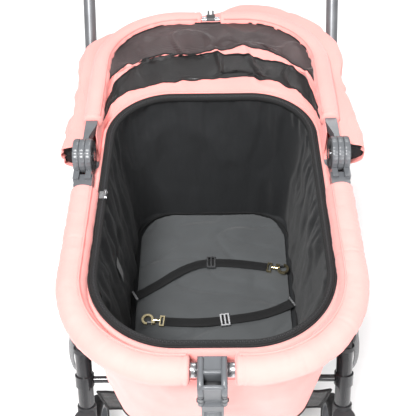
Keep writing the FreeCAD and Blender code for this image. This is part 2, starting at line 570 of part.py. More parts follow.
def caster_parts():
    low, high = GROUND + 196.0, GROUND + 246.0
    housing = Part.makeCylinder(22.0, high - low, V(FRAME_X, CASTER_Y, low), Z_AXIS)
    sleeve = rod(at(FRAME_X, along(LEG_FOOT, FRONT_PIVOT, -8.0)),
                 at(FRAME_X, along(LEG_FOOT, FRONT_PIVOT, 34.0)), LEG_R + 3.0)
    bore = rod(at(FRAME_X, along(LEG_FOOT, FRONT_PIVOT, LEG_INSET)),
               at(FRAME_X, along(LEG_FOOT, FRONT_PIVOT, 60.0)), LEG_R)
    body = fuse(housing, sleeve).cut(bore)
    body = body.cut(Part.makeCylinder(7.0 + RUNNING, 22.0, V(FRAME_X, CASTER_Y, low), Z_AXIS))
    export("caster_housings", pair(body))

    crown_low = GROUND + 2 * FRONT_WHEEL_R + 8.0
    arm_in, arm_out = FRONT_WHEEL_W / 2 + 3.0, FRONT_WHEEL_W / 2 + 8.0
    stem = Part.makeCylinder(7.0, low + 20.0 - crown_low, V(FRAME_X, CASTER_Y, crown_low), Z_AXIS)
    crown = box(FRAME_X - arm_out, FRAME_X + arm_out, CASTER_Y - 18, CASTER_Y + 24,
                crown_low, low - GAP - 1)
    pieces = [stem, crown]
    for x0 in (FRAME_X + arm_in, FRAME_X - arm_out):
        x1 = x0 + arm_out - arm_in
        profile = Part.makePolygon([V(x0, CASTER_Y - 18, low - GAP - 1),
                                    V(x0, CASTER_Y + 24, low - GAP - 1),
                                    V(x0, FRONT_AXLE[0] + 13, FRONT_AXLE[1]),
                                    V(x0, FRONT_AXLE[0] - 13, FRONT_AXLE[1]),
                                    V(x0, CASTER_Y - 18, low - GAP - 1)])
        pieces.append(Part.Face(profile).extrude(V(x1 - x0, 0, 0)))
        pieces.append(disc(x0, x1, FRONT_AXLE, 13.0))
    fork = fuse(*pieces).cut(disc(FRAME_X - 40, FRAME_X + 40, FRONT_AXLE, 4.0))
    axle = disc(FRAME_X - arm_out - 2, FRAME_X + arm_out + 2, FRONT_AXLE, 4.0)
    heads = [disc(FRAME_X + arm_out, FRAME_X + arm_out + 2.5, FRONT_AXLE, 8.0),
             disc(FRAME_X - arm_out - 2.5, FRAME_X - arm_out, FRONT_AXLE, 8.0)]
    axle = fuse(axle, *heads)
    right = Part.makeCompound([fork, axle])
    export("caster_fork_right", right)
    export("caster_fork_left", mirrored(right))


def wheel(x, yz, radius, width, tread, bore, spokes):
    """Tyre and spoked rim of one wheel, turned about an X axis."""
    half = width / 2
    inner, shoulder = radius - tread, radius - half * 0.7
    crown = Part.Arc(V(half, shoulder, 0), V(0, radius, 0), V(-half, shoulder, 0)).toShape()
    profile = Part.Wire([
        Part.makeLine(V(-half + 2, inner, 0), V(half - 2, inner, 0)),
        Part.makeLine(V(half - 2, inner, 0), V(half, shoulder, 0)), crown,
        Part.makeLine(V(-half, shoulder, 0), V(-half + 2, inner, 0))])
    tyre = Part.Face(profile).revolve(V(0, 0, 0), X_AXIS, 360)
    band = disc(-half + 2, half - 2, (0, 0), inner).cut(disc(-half, half, (0, 0), inner - 7))
    hub = disc(-half, half, (0, 0), 16.0)
    pieces = [band, hub]
    for n in range(spokes):
        spoke = box(-half * 0.35, half * 0.35, -7, 7, 10, inner - 4)
        pieces.append(turned(spoke, (0, 0), 360 / spokes * n))
    rim = fuse(*pieces).cut(disc(-half - 1, half + 1, (0, 0), bore + RUNNING))
    for shape in (tyre, rim):
        shape.translate(V(x, yz[0], yz[1]))
    return tyre, rim


def wheels():
    for end, x, yz, radius, width, tread, bore in (
            ("front", FRAME_X, FRONT_AXLE, FRONT_WHEEL_R, FRONT_WHEEL_W, 20.0, 4.0),
            ("rear", REAR_WHEEL_X, REAR_AXLE, REAR_WHEEL_R, REAR_WHEEL_W, 24.0, 6.0)):
        tyre, rim = wheel(x, yz, radius, width, tread, bore, 5)
        for piece, shape in (("_tyre_", tyre), ("_rim_", rim)):
            export(end + piece + "right", shape)
            export(end + piece + "left", mirrored(shape))


def rear_legs():
    leg = pipe(at(REAR_LEG_X, along(REAR_PIVOT, REAR_AXLE, 12.0)),
               at(REAR_LEG_X, along(REAR_AXLE, REAR_PIVOT, 13.0)), REAR_LEG_R, TUBE_WALL)
    top = disc(REAR_LEG_X - 11.0, FRAME_X - 20.4, REAR_PIVOT, 15.0)
    foot = disc(REAR_LEG_X - 12.0, REAR_LEG_X + 12.0, REAR_AXLE, 15.0)
    brake_at = along(REAR_AXLE, REAR_PIVOT, 48.0)
    brake_at = (brake_at[0] - 14.0, brake_at[1] - 7.0)
    eye = disc(REAR_LEG_X - 12.0, REAR_LEG_X + 4.0, brake_at, 10.0)
    link_pin = disc(REAR_LEG_X, LINK_X + 5.0, LINK_REAR, 3.0)
    flange = disc(REAR_LEG_X, LINK_X - LINK_THICK / 2 - GAP, LINK_REAR, 6.0)
    leg = fuse(leg, top, foot, eye, link_pin, flange)
    leg = leg.cut(disc(200, 245, REAR_PIVOT, PIVOT_R + RUNNING))
    leg = leg.cut(disc(200, 300, REAR_AXLE, 8.0))
    leg = leg.cut(disc(200, 240, brake_at, 5.0 + RUNNING))
    export("rear_legs", pair(leg))
    inboard = REAR_WHEEL_X - REAR_WHEEL_W / 2 - 1.0
    axle = fuse(disc(-inboard + 6, inboard - 6, REAR_AXLE, 8.0),
                disc(-inboard, inboard, REAR_AXLE, 7.0),
                disc(-289.0, 289.0, REAR_AXLE, 6.0),
                disc(287.0, 290.0, REAR_AXLE, 11.0), disc(-290.0, -287.0, REAR_AXLE, 11.0))
    export("rear_axle", axle)
    bar = disc(-REAR_LEG_X - 2, REAR_LEG_X + 2, brake_at, 5.0)
    pedal = box(-48, 48, brake_at[0], brake_at[0] + 52, brake_at[1] - 4, brake_at[1] + 4)
    export("brake_pedal", fuse(bar, turned(pedal, brake_at, -12.0)))


def drag_links():
    """Flat bars that tie each front leg to its rear leg. The rear eye is a slot."""
    length = math.dist(LINK_FRONT, LINK_REAR)
    x0, x1 = LINK_X - LINK_THICK / 2, LINK_X + LINK_THICK / 2
    y, z = LINK_FRONT
    bar = box(x0, x1, y, y + length, z - 7, z + 7)
    ends = [disc(x0, x1, (y, z), 9.0), disc(x0, x1, (y + length, z), 12.0)]
    link = fuse(bar, *ends).cut(disc(x0 - 1, x1 + 1, (y, z), 3.0 + RUNNING))
    slot = box(x0 - 1, x1 + 1, y + length - 4, y + length + 4, z - 5.8, z + 5.8)
    link = link.cut(slot)
    angle = math.degrees(math.atan2(LINK_REAR[1] - z, LINK_REAR[0] - y))
    export("drag_links", pair(turned(link, LINK_FRONT, angle)))


# Handle

def handle_edges(start):
    """The handle's U in its own sloping plane, from the right foot to the left."""
    length = math.dist(HANDLE_PIVOT, HANDLE_TOP)

    def point(x, distance):
        return at(x, along(HANDLE_PIVOT, HANDLE_TOP, distance))

    bend, mid = length - HANDLE_CORNER, HANDLE_CORNER * (1 - math.sqrt(0.5))
    x, inset, half = FRAME_X, FRAME_X - HANDLE_CORNER, FRAME_X - mid
    return [Part.makeLine(point(x, start), point(x, bend)),
            Part.Arc(point(x, bend), point(half, length - mid), point(inset, length)).toShape(),
            Part.makeLine(point(inset, length), point(-inset, length)),
            Part.Arc(point(-inset, length), point(-half, length - mid), point(-x, bend)).toShape(),
            Part.makeLine(point(-x, bend), point(-x, start))]


def handle():
    tube = sweep(handle_edges(32.0), HANDLE_R, HANDLE_R - 1.6)
    head = disc(FRAME_X - 9.0, FRAME_X + 9.0, HANDLE_PIVOT, 20.0)
    neck = rod(at(FRAME_X, along(HANDLE_PIVOT, HANDLE_TOP, 4.0)),
               at(FRAME_X, along(HANDLE_PIVOT, HANDLE_TOP, 60.0)), 8.8)
    collar = rod(at(FRAME_X, along(HANDLE_PIVOT, HANDLE_TOP, 26.5)),
                 at(FRAME_X, along(HANDLE_PIVOT, HANDLE_TOP, 32.0)), HANDLE_R + 1.0)
    head = fuse(head, neck, collar).cut(disc(230, 290, HANDLE_PIVOT, PIVOT_R + RUNNING))
    export("handle_tube", Part.makeCompound([tube, head, mirrored(head)]))
    reach = FRAME_X - HANDLE_CORNER - 4
    middle = V(0, *HANDLE_TOP)
    grip = pipe(middle - X_AXIS * reach, middle + X_AXIS * reach, GRIP_R, GRIP_R - HANDLE_R - 0.1)
    export("handle_grip", grip)
    start = at(FRAME_X, along(HANDLE_PIVOT, HANDLE_TOP, TRIGGER_AT))
    end = at(FRAME_X, along(HANDLE_PIVOT, HANDLE_TOP, TRIGGER_AT + TRIGGER_LENGTH))
    trigger = pipe(start, end, TRIGGER_R, TRIGGER_R - HANDLE_R - GAP)
    export("fold_triggers", pair(trigger))


# Storage basket under the bed

def basket():
    tray = tub(BASKET, shrunk(BASKET, BASKET_TAPER), BASKET_TOP, BASKET_LOW, BASKET_WALL)
    mouth = box(-188, 188, -130, -104, BASKET_LOW + 12, BASKET_TOP + 5)
    export("storage_basket", tray.cut(mouth))
    rim = sweep(whole_u(WIRE_X, BASKET[1], 190.0, 40.0, WIRE_Z), WIRE_R)
    spot = along(FRONT_PIVOT, HANDLE_PIVOT, REAR_BRACE_AT)
    hanger = rod(V(150, 190, WIRE_Z), V(150, spot[0] + 2, spot[1] - 8), 3.5)
    tab = box(WIRE_X - 4, WIRE_X + 4, -136, -118, WIRE_Z - 5, WIRE_Z + 5)
    wire = fuse(rim, hanger, mirrored(hanger), tab, mirrored(tab))
    wire = wire.cut(disc(-246, 246, CROSS_FRONT, 9.0)).cut(disc(-246, 246, spot, 9.0))
    export("basket_wire", wire)
    export("basket_front", box(-226, 226, -254, -252, -450, -378))


def side_loops():
    """Webbing loops that hang outside the front hubs."""
    x = FRAME_X + 18.6
    outer = Part.makePolygon([V(x, -163, -345), V(x, -128, -345), V(x, -150, -440),
                              V(x, -176, -440), V(x, -163, -345)])
    loop = Part.Face(outer).extrude(V(2.0, 0, 0))
    export("side_loops", pair(loop))


def main():
    os.makedirs("parts", exist_ok=True)
    rim_tubes()
    rim_pad()
    bed_fabric()
    zipper_tape()
    zip_pull_pieces()
    tethers()
    hinge_plates()
    bow()
    hood_bundle()
    latch()
    clips()
    side_beams()
    fold_hubs()
    handle_hubs()
    cross_tubes()
    rear_pivot_mounts()
    frame_bolts()
    front_legs()
    caster_parts()
    wheels()
    rear_legs()
    drag_links()
    handle()
    basket()
    side_loops()


main()
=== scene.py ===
import json
import math

import bmesh
import bpy
from mathutils import Matrix, Vector, noise


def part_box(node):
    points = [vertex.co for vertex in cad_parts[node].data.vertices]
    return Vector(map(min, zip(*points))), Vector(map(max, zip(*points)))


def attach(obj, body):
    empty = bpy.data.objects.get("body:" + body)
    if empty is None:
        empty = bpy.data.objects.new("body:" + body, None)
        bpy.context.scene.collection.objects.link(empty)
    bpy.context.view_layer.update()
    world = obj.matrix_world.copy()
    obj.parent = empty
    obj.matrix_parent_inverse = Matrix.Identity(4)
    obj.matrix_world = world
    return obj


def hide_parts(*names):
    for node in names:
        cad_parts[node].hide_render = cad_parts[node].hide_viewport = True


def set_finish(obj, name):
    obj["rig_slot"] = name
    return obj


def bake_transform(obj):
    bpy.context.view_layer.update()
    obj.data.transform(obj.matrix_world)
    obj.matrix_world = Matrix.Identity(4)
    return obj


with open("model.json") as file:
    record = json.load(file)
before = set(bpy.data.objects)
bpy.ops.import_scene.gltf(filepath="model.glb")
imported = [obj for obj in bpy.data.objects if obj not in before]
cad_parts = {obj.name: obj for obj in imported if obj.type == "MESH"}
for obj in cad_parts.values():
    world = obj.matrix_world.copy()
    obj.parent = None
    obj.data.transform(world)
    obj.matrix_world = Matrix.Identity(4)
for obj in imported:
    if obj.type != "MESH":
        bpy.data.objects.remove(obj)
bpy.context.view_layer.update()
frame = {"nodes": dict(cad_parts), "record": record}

# Metres. Soft pieces are drawn about the hood's hinge axis (the frame's +X, -Y front, +Z up)
# and moved to it when their mesh is made, as the CAD source does.
NODES = frame["nodes"]
pin_low, pin_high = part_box("hinge_pins")
HINGE = (pin_low + pin_high) / 2
UP = Vector((0, 0, 1))

# Shapes shared with the CAD model
RIM_HALF, RIM_REACH, RIM_Z, RIM_CORNER, PAD_R = 0.217, -0.404, -0.025, 0.160, 0.0225
PAD_START, PAD_GAP = -0.063, 0.032
REAR_HALF, REAR_REACH, REAR_Z, REAR_CORNER = 0.206, 0.208, -0.040, 0.125
BOW_HALF, BOW_REACH, BOW_CORNER, SLEEVE_R = 0.216, 0.406, 0.155, 0.017
SHELL_TOP, SHELL_FOOT = (0.206, -0.394, 0.214, 0.150, 0.128), (0.174, -0.324, 0.172, 0.055, 0.050)
LINER_TOP, LINER_FOOT = (0.190, -0.378, 0.197, 0.140, 0.118), (0.167, -0.316, 0.165, 0.050, 0.045)
ZIP_LINE, ZIP_Z = (0.1855, -0.3575, 0.1905, 0.1335, 0.1115), -0.030
SHELL_HIGH, SHELL_LOW, LINER_HIGH, LINER_LOW = -0.046, -0.360, -0.031, -0.348
CUSHION_TOP = -0.328
DISC_R, DISC_X, PLATE, PLATE_STEP = 0.029, 0.222, 0.010, 0.0105
STRAP_W, STRAP_T = 0.020, 0.0024
SIDES = (("left", -1), ("right", 1))
STRAP_ROUTES = {
    "left": [(-0.155, -0.071), (-0.118, -0.049), (-0.070, -0.009), (-0.022, 0.012), (0.024, 0.012),
             (0.073, 0.007), (0.112, -0.001)],
    "right": [(0.155, -0.091), (0.128, -0.107), (0.086, -0.120), (0.042, -0.127), (-0.005, -0.133),
              (-0.052, -0.135), (-0.096, -0.131)],
}


# Materials

def new_material(name, roughness, metallic=0.0, **sockets):
    """A Principled material with its even values set on the shader's own sockets."""
    material = bpy.data.materials.new(name)
    material.use_nodes = True
    shader = material.node_tree.nodes["Principled BSDF"]
    shader.inputs["Roughness"].default_value = roughness
    shader.inputs["Metallic"].default_value = metallic
    for socket, value in sockets.items():
        shader.inputs[socket.replace("_", " ")].default_value = value
    return material, shader


def add(tree, kind, **values):
    node = tree.nodes.new(kind)
    for name, value in values.items():
        if name in node.inputs:
            node.inputs[name].default_value = value
        else:
            setattr(node, name, value)
    return node


def noise_node(tree, source, scale, detail=4.0):
    node = add(tree, "ShaderNodeTexNoise", Scale=scale, Detail=detail)
    tree.links.new(source, node.inputs["Vector"])
    return node.outputs["Fac"]


def wave_node(tree, source, period, direction, distortion=0.0):
    """Even ribs: a wave's period is 0.314 over its scale."""
    node = add(tree, "ShaderNodeTexWave", Scale=0.314 / period, Distortion=distortion)
    node.bands_direction = direction
    tree.links.new(source, node.inputs["Vector"])
    return node.outputs["Fac"]


def math_node(tree, operation, first, second):
    node = tree.nodes.new("ShaderNodeMath")
    node.operation = operation
    for slot, value in zip(node.inputs, (first, second)):
        if isinstance(value, float):
            slot.default_value = value
        else:
            tree.links.new(value, slot)
    return node.outputs[0]


def ramp(tree, factor, stops):
    node = tree.nodes.new("ShaderNodeValToRGB")
    tree.links.new(factor, node.inputs["Fac"])
    elements = node.color_ramp.elements
    while len(elements) < len(stops):
        elements.new(0.5)
    for element, (position, colour) in zip(elements, stops):
        element.position = position
        element.color = (*colour, 1)
    return node.outputs["Color"]


def shade(colour, factor):
    return tuple(channel * factor for channel in colour)


def bump(tree, shader, height, strength, distance):
    node = add(tree, "ShaderNodeBump", Strength=strength, Distance=distance)
    tree.links.new(height, node.inputs["Height"])
    tree.links.new(node.outputs["Normal"], shader.inputs["Normal"])


def cloth_material(name, colour, thread, relief, spread=0.12, ribs=0.0, **sockets):
    """Woven cloth: crossed threads on the piece's own lengths, soft colour drift, fine fuzz."""
    material, shader = new_material(name, **sockets)
    tree = material.node_tree
    coords = tree.nodes.new("ShaderNodeTexCoord")
    warp = wave_node(tree, coords.outputs["UV"], thread, "X", 0.6)
    weft = wave_node(tree, coords.outputs["UV"], thread * (ribs or 1.0), "Y", 0.6)
    weave = math_node(tree, "MULTIPLY", warp, weft)
    drift = noise_node(tree, coords.outputs["Object"], 9.0)
    fuzz = noise_node(tree, coords.outputs["Object"], 420.0, 2.0)
    mixed = math_node(tree, "ADD", math_node(tree, "MULTIPLY", weave, 0.35),
                      math_node(tree, "MULTIPLY", drift, 0.65))
    stops = [(0.22, shade(colour, 1 - spread)), (0.72, shade(colour, 1 + spread * 0.5))]
    tree.links.new(ramp(tree, mixed, stops), shader.inputs["Base Color"])
    height = math_node(tree, "ADD", weave, math_node(tree, "MULTIPLY", fuzz, 0.5))
    bump(tree, shader, height, relief, 0.0006)
    return material


def hard_material(name, colour, grain, relief, spread=0.1, **sockets):
    """Moulded or painted surface: faint mottling, fine grain and rubbed roughness."""
    material, shader = new_material(name, **sockets)
    tree = material.node_tree
    coords = tree.nodes.new("ShaderNodeTexCoord")
    mottle = noise_node(tree, coords.outputs["Object"], 26.0, 6.0)
    fine = noise_node(tree, coords.outputs["Object"], grain, 3.0)
    stops = [(0.3, shade(colour, 1 - spread)), (0.7, shade(colour, 1 + spread))]
    tree.links.new(ramp(tree, mottle, stops), shader.inputs["Base Color"])
    even = sockets["roughness"]
    worn = add(tree, "ShaderNodeMapRange")
    worn.inputs["To Min"].default_value = even * 0.8
    worn.inputs["To Max"].default_value = min(1.0, even * 1.25)
    tree.links.new(fine, worn.inputs["Value"])
    tree.links.new(worn.outputs["Result"], shader.inputs["Roughness"])
    bump(tree, shader, fine, relief, 0.0003)
    return material


PINK = (0.90, 0.31, 0.285)
MATERIALS = {
    "pink_fabric": cloth_material("pink_cloth", PINK, 0.0011, 0.35, 0.10, roughness=0.82,
                                  Sheen_Weight=0.25, Sheen_Roughness=0.5),
    "pink_piping": cloth_material("pink_piping", (0.86, 0.27, 0.25), 0.0009, 0.4, 0.10, roughness=0.8,
                                  Sheen_Weight=0.2),
    "liner_fabric": cloth_material("liner_cloth", (0.0145, 0.0155, 0.0170), 0.0012, 0.5, 0.25,
                                   roughness=0.70, Sheen_Weight=0.08, Sheen_Roughness=0.4,
                                   Specular_IOR_Level=0.35),
    "cushion_fabric": cloth_material("cushion_cloth", (0.078, 0.083, 0.086), 0.0014, 0.6, 0.28,
                                     roughness=0.9, Sheen_Weight=0.2),
    "sheer_mesh": cloth_material("sheer_mesh", (0.062, 0.044, 0.045), 0.0018, 0.7, 0.55, roughness=0.36,
                                 Alpha=0.80, Sheen_Weight=0.35, Sheen_Roughness=0.3),
    "mesh_fabric": cloth_material("dark_mesh", (0.012, 0.011, 0.0115), 0.0020, 0.8, 0.45, roughness=0.38,
                                  Alpha=0.92, Sheen_Weight=0.10, Sheen_Roughness=0.3),
    "webbing": cloth_material("ribbed_webbing", (0.009, 0.009, 0.0095), 0.0022, 0.9, 0.35, ribs=0.45,
                              roughness=0.65, Sheen_Weight=0.05, Specular_IOR_Level=0.3),
    "grey_webbing": cloth_material("grey_webbing", (0.12, 0.12, 0.125), 0.0022, 0.8, 0.25, ribs=0.45,
                                   roughness=0.6, Sheen_Weight=0.3),
    "frame_gloss": hard_material("black_powder_coat", (0.022, 0.022, 0.024), 700.0, 0.12, roughness=0.24,
                                 Coat_Weight=0.4, Coat_Roughness=0.12),
    "frame_grey": hard_material("grey_lacquer", (0.145, 0.15, 0.158), 900.0, 0.10, roughness=0.36,
                                metallic=0.45),
    "steel": hard_material("zinc_steel", (0.40, 0.40, 0.41), 1200.0, 0.15, roughness=0.26, metallic=1.0),
    "spring_brass": hard_material("pale_brass", (0.66, 0.56, 0.34), 1200.0, 0.12, roughness=0.22,
                                  metallic=1.0),
    "black_plastic": hard_material("black_plastic", (0.026, 0.026, 0.028), 1400.0, 0.35, roughness=0.48),
    "grey_plastic": hard_material("grey_plastic", (0.100, 0.105, 0.113), 1400.0, 0.25, roughness=0.30),
    "tyre": hard_material("tyre_foam", (0.018, 0.018, 0.019), 500.0, 0.5, roughness=0.85),
    "foam": hard_material("grip_foam", (0.028, 0.028, 0.029), 320.0, 0.8, roughness=0.92),
    "board": hard_material("fibre_board", (0.30, 0.23, 0.15), 260.0, 0.5, 0.3, roughness=0.8),
}
SLOT_OF = {"pink_piping": "pink_fabric", "sheer_mesh": "mesh_fabric", "grey_webbing": "webbing"}


# Mesh helpers

def turns(sides):
    """Evenly spaced angles round a full turn."""
    return [2 * math.pi * k / sides for k in range(sides)]


def piece(name, vertices, faces, finish, uvs=None):
    """A smooth mesh drawn about the hinge."""
    mesh = bpy.data.meshes.new(name)
    mesh.from_pydata([tuple(Vector(v) + HINGE) for v in vertices], [], faces)
    mesh.materials.append(MATERIALS[finish])
    mesh.polygons.foreach_set("use_smooth", [True] * len(mesh.polygons))
    if uvs:
        layer = mesh.uv_layers.new(name="metres")
        for loop in mesh.loops:
            layer.data[loop.index].uv = uvs[loop.vertex_index]
    mesh.update()
    thing = bpy.data.objects.new(name, mesh)
    bpy.context.scene.collection.objects.link(thing)
    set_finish(thing, SLOT_OF.get(finish, finish))
    return thing


def grid(name, rows, finish, around=False, ring=False, caps=False):
    """A surface through rows of points. around closes each row, ring joins the last row to the
    first, caps closes the two end rows. Its UVs are lengths in metres."""
    count, width = len(rows), len(rows[0])
    vertices = [p for row in rows for p in row]
    across = [0.0]
    for a, b in zip(rows[count // 2], rows[count // 2][1:]):
        across.append(across[-1] + (Vector(b) - Vector(a)).length)
    down = [0.0]
    for a, b in zip(rows, rows[1:]):
        down.append(down[-1] + (Vector(b[width // 2]) - Vector(a[width // 2])).length)
    uvs = [(across[j], down[i]) for i in range(count) for j in range(width)]
    faces = []
    for i in range(count if ring else count - 1):
        for j in range(width if around else width - 1):
            i2, j2 = (i + 1) % count, (j + 1) % width
            faces.append((i * width + j, i * width + j2, i2 * width + j2, i2 * width + j))
    if caps:
        faces.append(tuple(range(width))[::-1])
        faces.append(tuple((count - 1) * width + j for j in range(width)))
    return piece(name, vertices, faces, finish, uvs)


def sheet_rows(down, across, point):
    """Rows of point(s, t), with s from 0 to 1 down the sheet and t from 0 to 1 across it."""
    return [[point(i / down, j / across) for j in range(across + 1)] for i in range(down + 1)]


def rod(name, rows, finish):
    """A closed, capped tube through rings of points."""
    return grid(name, rows, finish, around=True, caps=True)


def applied(thing):
    """Its modifiers become plain mesh."""
    graph = bpy.context.evaluated_depsgraph_get()
    mesh = bpy.data.meshes.new_from_object(thing.evaluated_get(graph))
    thing.modifiers.clear()
    thing.data = mesh
    return thing


def thicken(thing, thickness, levels=0):
    solid = thing.modifiers.new("thickness", "SOLIDIFY")
    solid.thickness = thickness
    solid.offset = 0.0
    if levels:
        thing.modifiers.new("smooth", "SUBSURF").levels = levels
    return applied(thing)


def joined(name, things):
    """Several meshes as one piece."""
    with bpy.context.temp_override(active_object=things[0], selected_editable_objects=things):
        bpy.ops.object.join()
    things[0].name = things[0].data.name = name
    return things[0]


def wobble(x, y, z, scale, octaves=3):
    return noise.fractal(Vector((x, y, z)) * scale, 0.9, 2.1, octaves)


# Level outlines: each is a list of (point, outward normal), walked anticlockwise

def walk(segments, count, closed):
    """Evenly spaced stations along lines ((x, y), (x, y)) and arcs (centre, radius, from, to)."""
    lengths = []
    for part in segments:
        if len(part) == 2:
            lengths.append(math.dist(*part))
        else:
            lengths.append(part[1] * math.radians(abs(part[3] - part[2])))
    total, stations = sum(lengths), []
    for n in range(count if closed else count + 1):
        left, index = total * n / count, 0
        while index < len(lengths) - 1 and left > lengths[index]:
            left -= lengths[index]
            index += 1
        part, share = segments[index], min(1.0, left / lengths[index])
        if len(part) == 2:
            (x0, y0), (x1, y1) = part
            point = Vector((x0 + (x1 - x0) * share, y0 + (y1 - y0) * share, 0))
            out = Vector((y1 - y0, x0 - x1, 0)).normalized()
        else:
            angle = math.radians(part[2] + (part[3] - part[2]) * share)
            out = Vector((math.cos(angle), math.sin(angle), 0))
            point = Vector((*part[0], 0)) + out * part[1]
        stations.append((point, out))
    return stations


def back_u(half, start, reach, corner):
    """Right end, round the back, to the left end."""
    bend, inset = reach - corner, half - corner
    return [((half, start), (half, bend)), ((inset, bend), corner, 0, 90),
            ((inset, reach), (-inset, reach)), ((-inset, bend), corner, 90, 180),
            ((-half, bend), (-half, start))]


def front_half(half, start, reach, corner, gap, side):
    """One side of the front U: side -1 runs from the left end to the gap, 1 from the gap out."""
    bend, inset = reach + corner, half - corner
    if side < 0:
        return [((-half, start), (-half, bend)), ((-inset, bend), corner, 180, 270),
                ((-inset, reach), (-gap, reach))]
    return [((gap, reach), (inset, reach)), ((inset, bend), corner, 270, 360),
            ((half, bend), (half, start))]


def loop_line(sizes):
    """A closed outline that starts at the middle of the front."""
    half, front, back, front_r, back_r = sizes
    return [((0, front), (half - front_r, front)),
            ((half - front_r, front + front_r), front_r, 270, 360),
            ((half, front + front_r), (half, back - back_r)),
            ((half - back_r, back - back_r), back_r, 0, 90),
            ((half - back_r, back), (back_r - half, back)),
            ((back_r - half, back - back_r), back_r, 90, 180),
            ((-half, back - back_r), (-half, front + front_r)),
            ((front_r - half, front + front_r), front_r, 180, 270),
            ((front_r - half, front), (0, front))]


def between(first, second, share):
    return tuple(a + (b - a) * share for a, b in zip(first, second))


def tube_rows(stations, z, radius, sides=20):
    """Rings round a line of stations. radius is a number or a function of (share, angle)."""
    rows = []
    for n, (point, out) in enumerate(stations):
        share, row = n / (len(stations) - 1), []
        for angle in turns(sides):
            size = radius(share, angle) if callable(radius) else radius
            row.append(point + out * (size * math.cos(angle)) + UP * (z + size * math.sin(angle)))
        rows.append(row)
    return rows


def lathe(name, centre, profile, finish, steps=72, depth=None):
    """A shape turned about an X axis through centre. profile is a list of (x, radius), and depth
    changes a radius by (index, turn)."""
    rows = []
    for n, angle in enumerate(turns(steps)):
        row = []
        for index, (x, radius) in enumerate(profile):
            r = radius + (depth(index, n) if depth else 0.0)
            row.append(Vector((centre[0] + x, centre[1] + r * math.cos(angle),
                               centre[2] + r * math.sin(angle))))
        rows.append(row)
    return grid(name, rows, finish, ring=True)


def ribbon_rows(points, sides, width, thickness):
    """A flat strap through points; sides gives the strap's width direction at each."""
    rows = []
    half, edge = width / 2, thickness / 2
    for n, (point, side) in enumerate(zip(points, sides)):
        ahead = points[min(n + 1, len(points) - 1)] - points[max(n - 1, 0)]
        up = side.cross(ahead).normalized() * edge
        rows.append([point - side * half, point - side * (half - edge) + up, point + up * 1.15,
                     point + side * (half - edge) + up, point + side * half,
                     point + side * (half - edge) - up, point - up, point - side * (half - edge) - up])
    return rows


# Camera, light and floor

EYE_FROM_HINGE, EYE_ANGLES, EYE_LENS = (0.0074, -0.9101, 0.8877), (48.47, -0.957, -1.281), 63.02


def camera():
    """The eye stands in front of and above the bed, and looks down its length."""
    pitch, yaw, roll = (math.radians(angle) for angle in EYE_ANGLES)
    ahead = Vector((math.sin(yaw) * math.cos(pitch), math.cos(yaw) * math.cos(pitch), -math.sin(pitch)))
    right = ahead.cross(UP).normalized()
    above = right.cross(ahead)
    tilted_right = right * math.cos(roll) + above * math.sin(roll)
    tilted_up = above * math.cos(roll) - right * math.sin(roll)
    turn = Matrix((tilted_right, tilted_up, -ahead)).transposed()
    data = bpy.data.cameras.new("camera")
    data.lens = EYE_LENS
    eye = bpy.data.objects.new("camera", data)
    eye.matrix_world = Matrix.Translation(HINGE + Vector(EYE_FROM_HINGE)) @ turn.to_4x4()
    bpy.context.scene.collection.objects.link(eye)
    bpy.context.scene.camera = eye


LAMP_AIM = Vector((0, -0.05, 0.4))
LAMPS = {"key": ((-0.6, -1.6, 3.2), 0.8, 150), "fill": ((1.2, -2.4, 1.9), 1.6, 46),
         "back": ((0.4, 2.2, 2.7), 1.4, 30)}
WORLD_STRENGTH, FLOOR_HALF = 0.62, 12.0


def lamp(name, place, size, power):
    data = bpy.data.lights.new(name, "AREA")
    data.shape, data.size, data.energy = "DISK", size, power
    light = bpy.data.objects.new(name, data)
    light.location = place
    light.rotation_euler = (LAMP_AIM - Vector(place)).to_track_quat("-Z", "Y").to_euler()
    bpy.context.scene.collection.objects.link(light)


def studio():
    world = bpy.data.worlds.new("studio")
    world.use_nodes = True
    world.node_tree.nodes["Background"].inputs["Color"].default_value = (1, 1, 1, 1)
    world.node_tree.nodes["Background"].inputs["Strength"].default_value = WORLD_STRENGTH
    bpy.context.scene.world = world
    bpy.context.scene.view_settings.view_transform = "Standard"
    for name, (place, size, power) in LAMPS.items():
        lamp(name, place, size, power)
    corners = [Vector((x, y, 0)) * FLOOR_HALF - HINGE for x, y in ((-1, -1), (1, -1), (1, 1), (-1, 1))]
    floor = piece("floor", corners, [(0, 1, 2, 3)], "foam")
    pale = hard_material("pale_floor", (0.93, 0.93, 0.93), 60.0, 0.02, 0.01, roughness=0.8)
    floor.data.materials[0] = pale
    del floor["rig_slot"]


# Padded rim and bow

# Padded lengths, how far their ends round off, and where the hems and the rim's cross seam draw in
PAD_RUN, BOW_RUN, PAD_NOSE = 0.60, 0.47, 0.003
RIM_HEM, BOW_HEM, CROSS_SEAM = (0.010, 0.0135), (0.011, 0.0135), 0.193


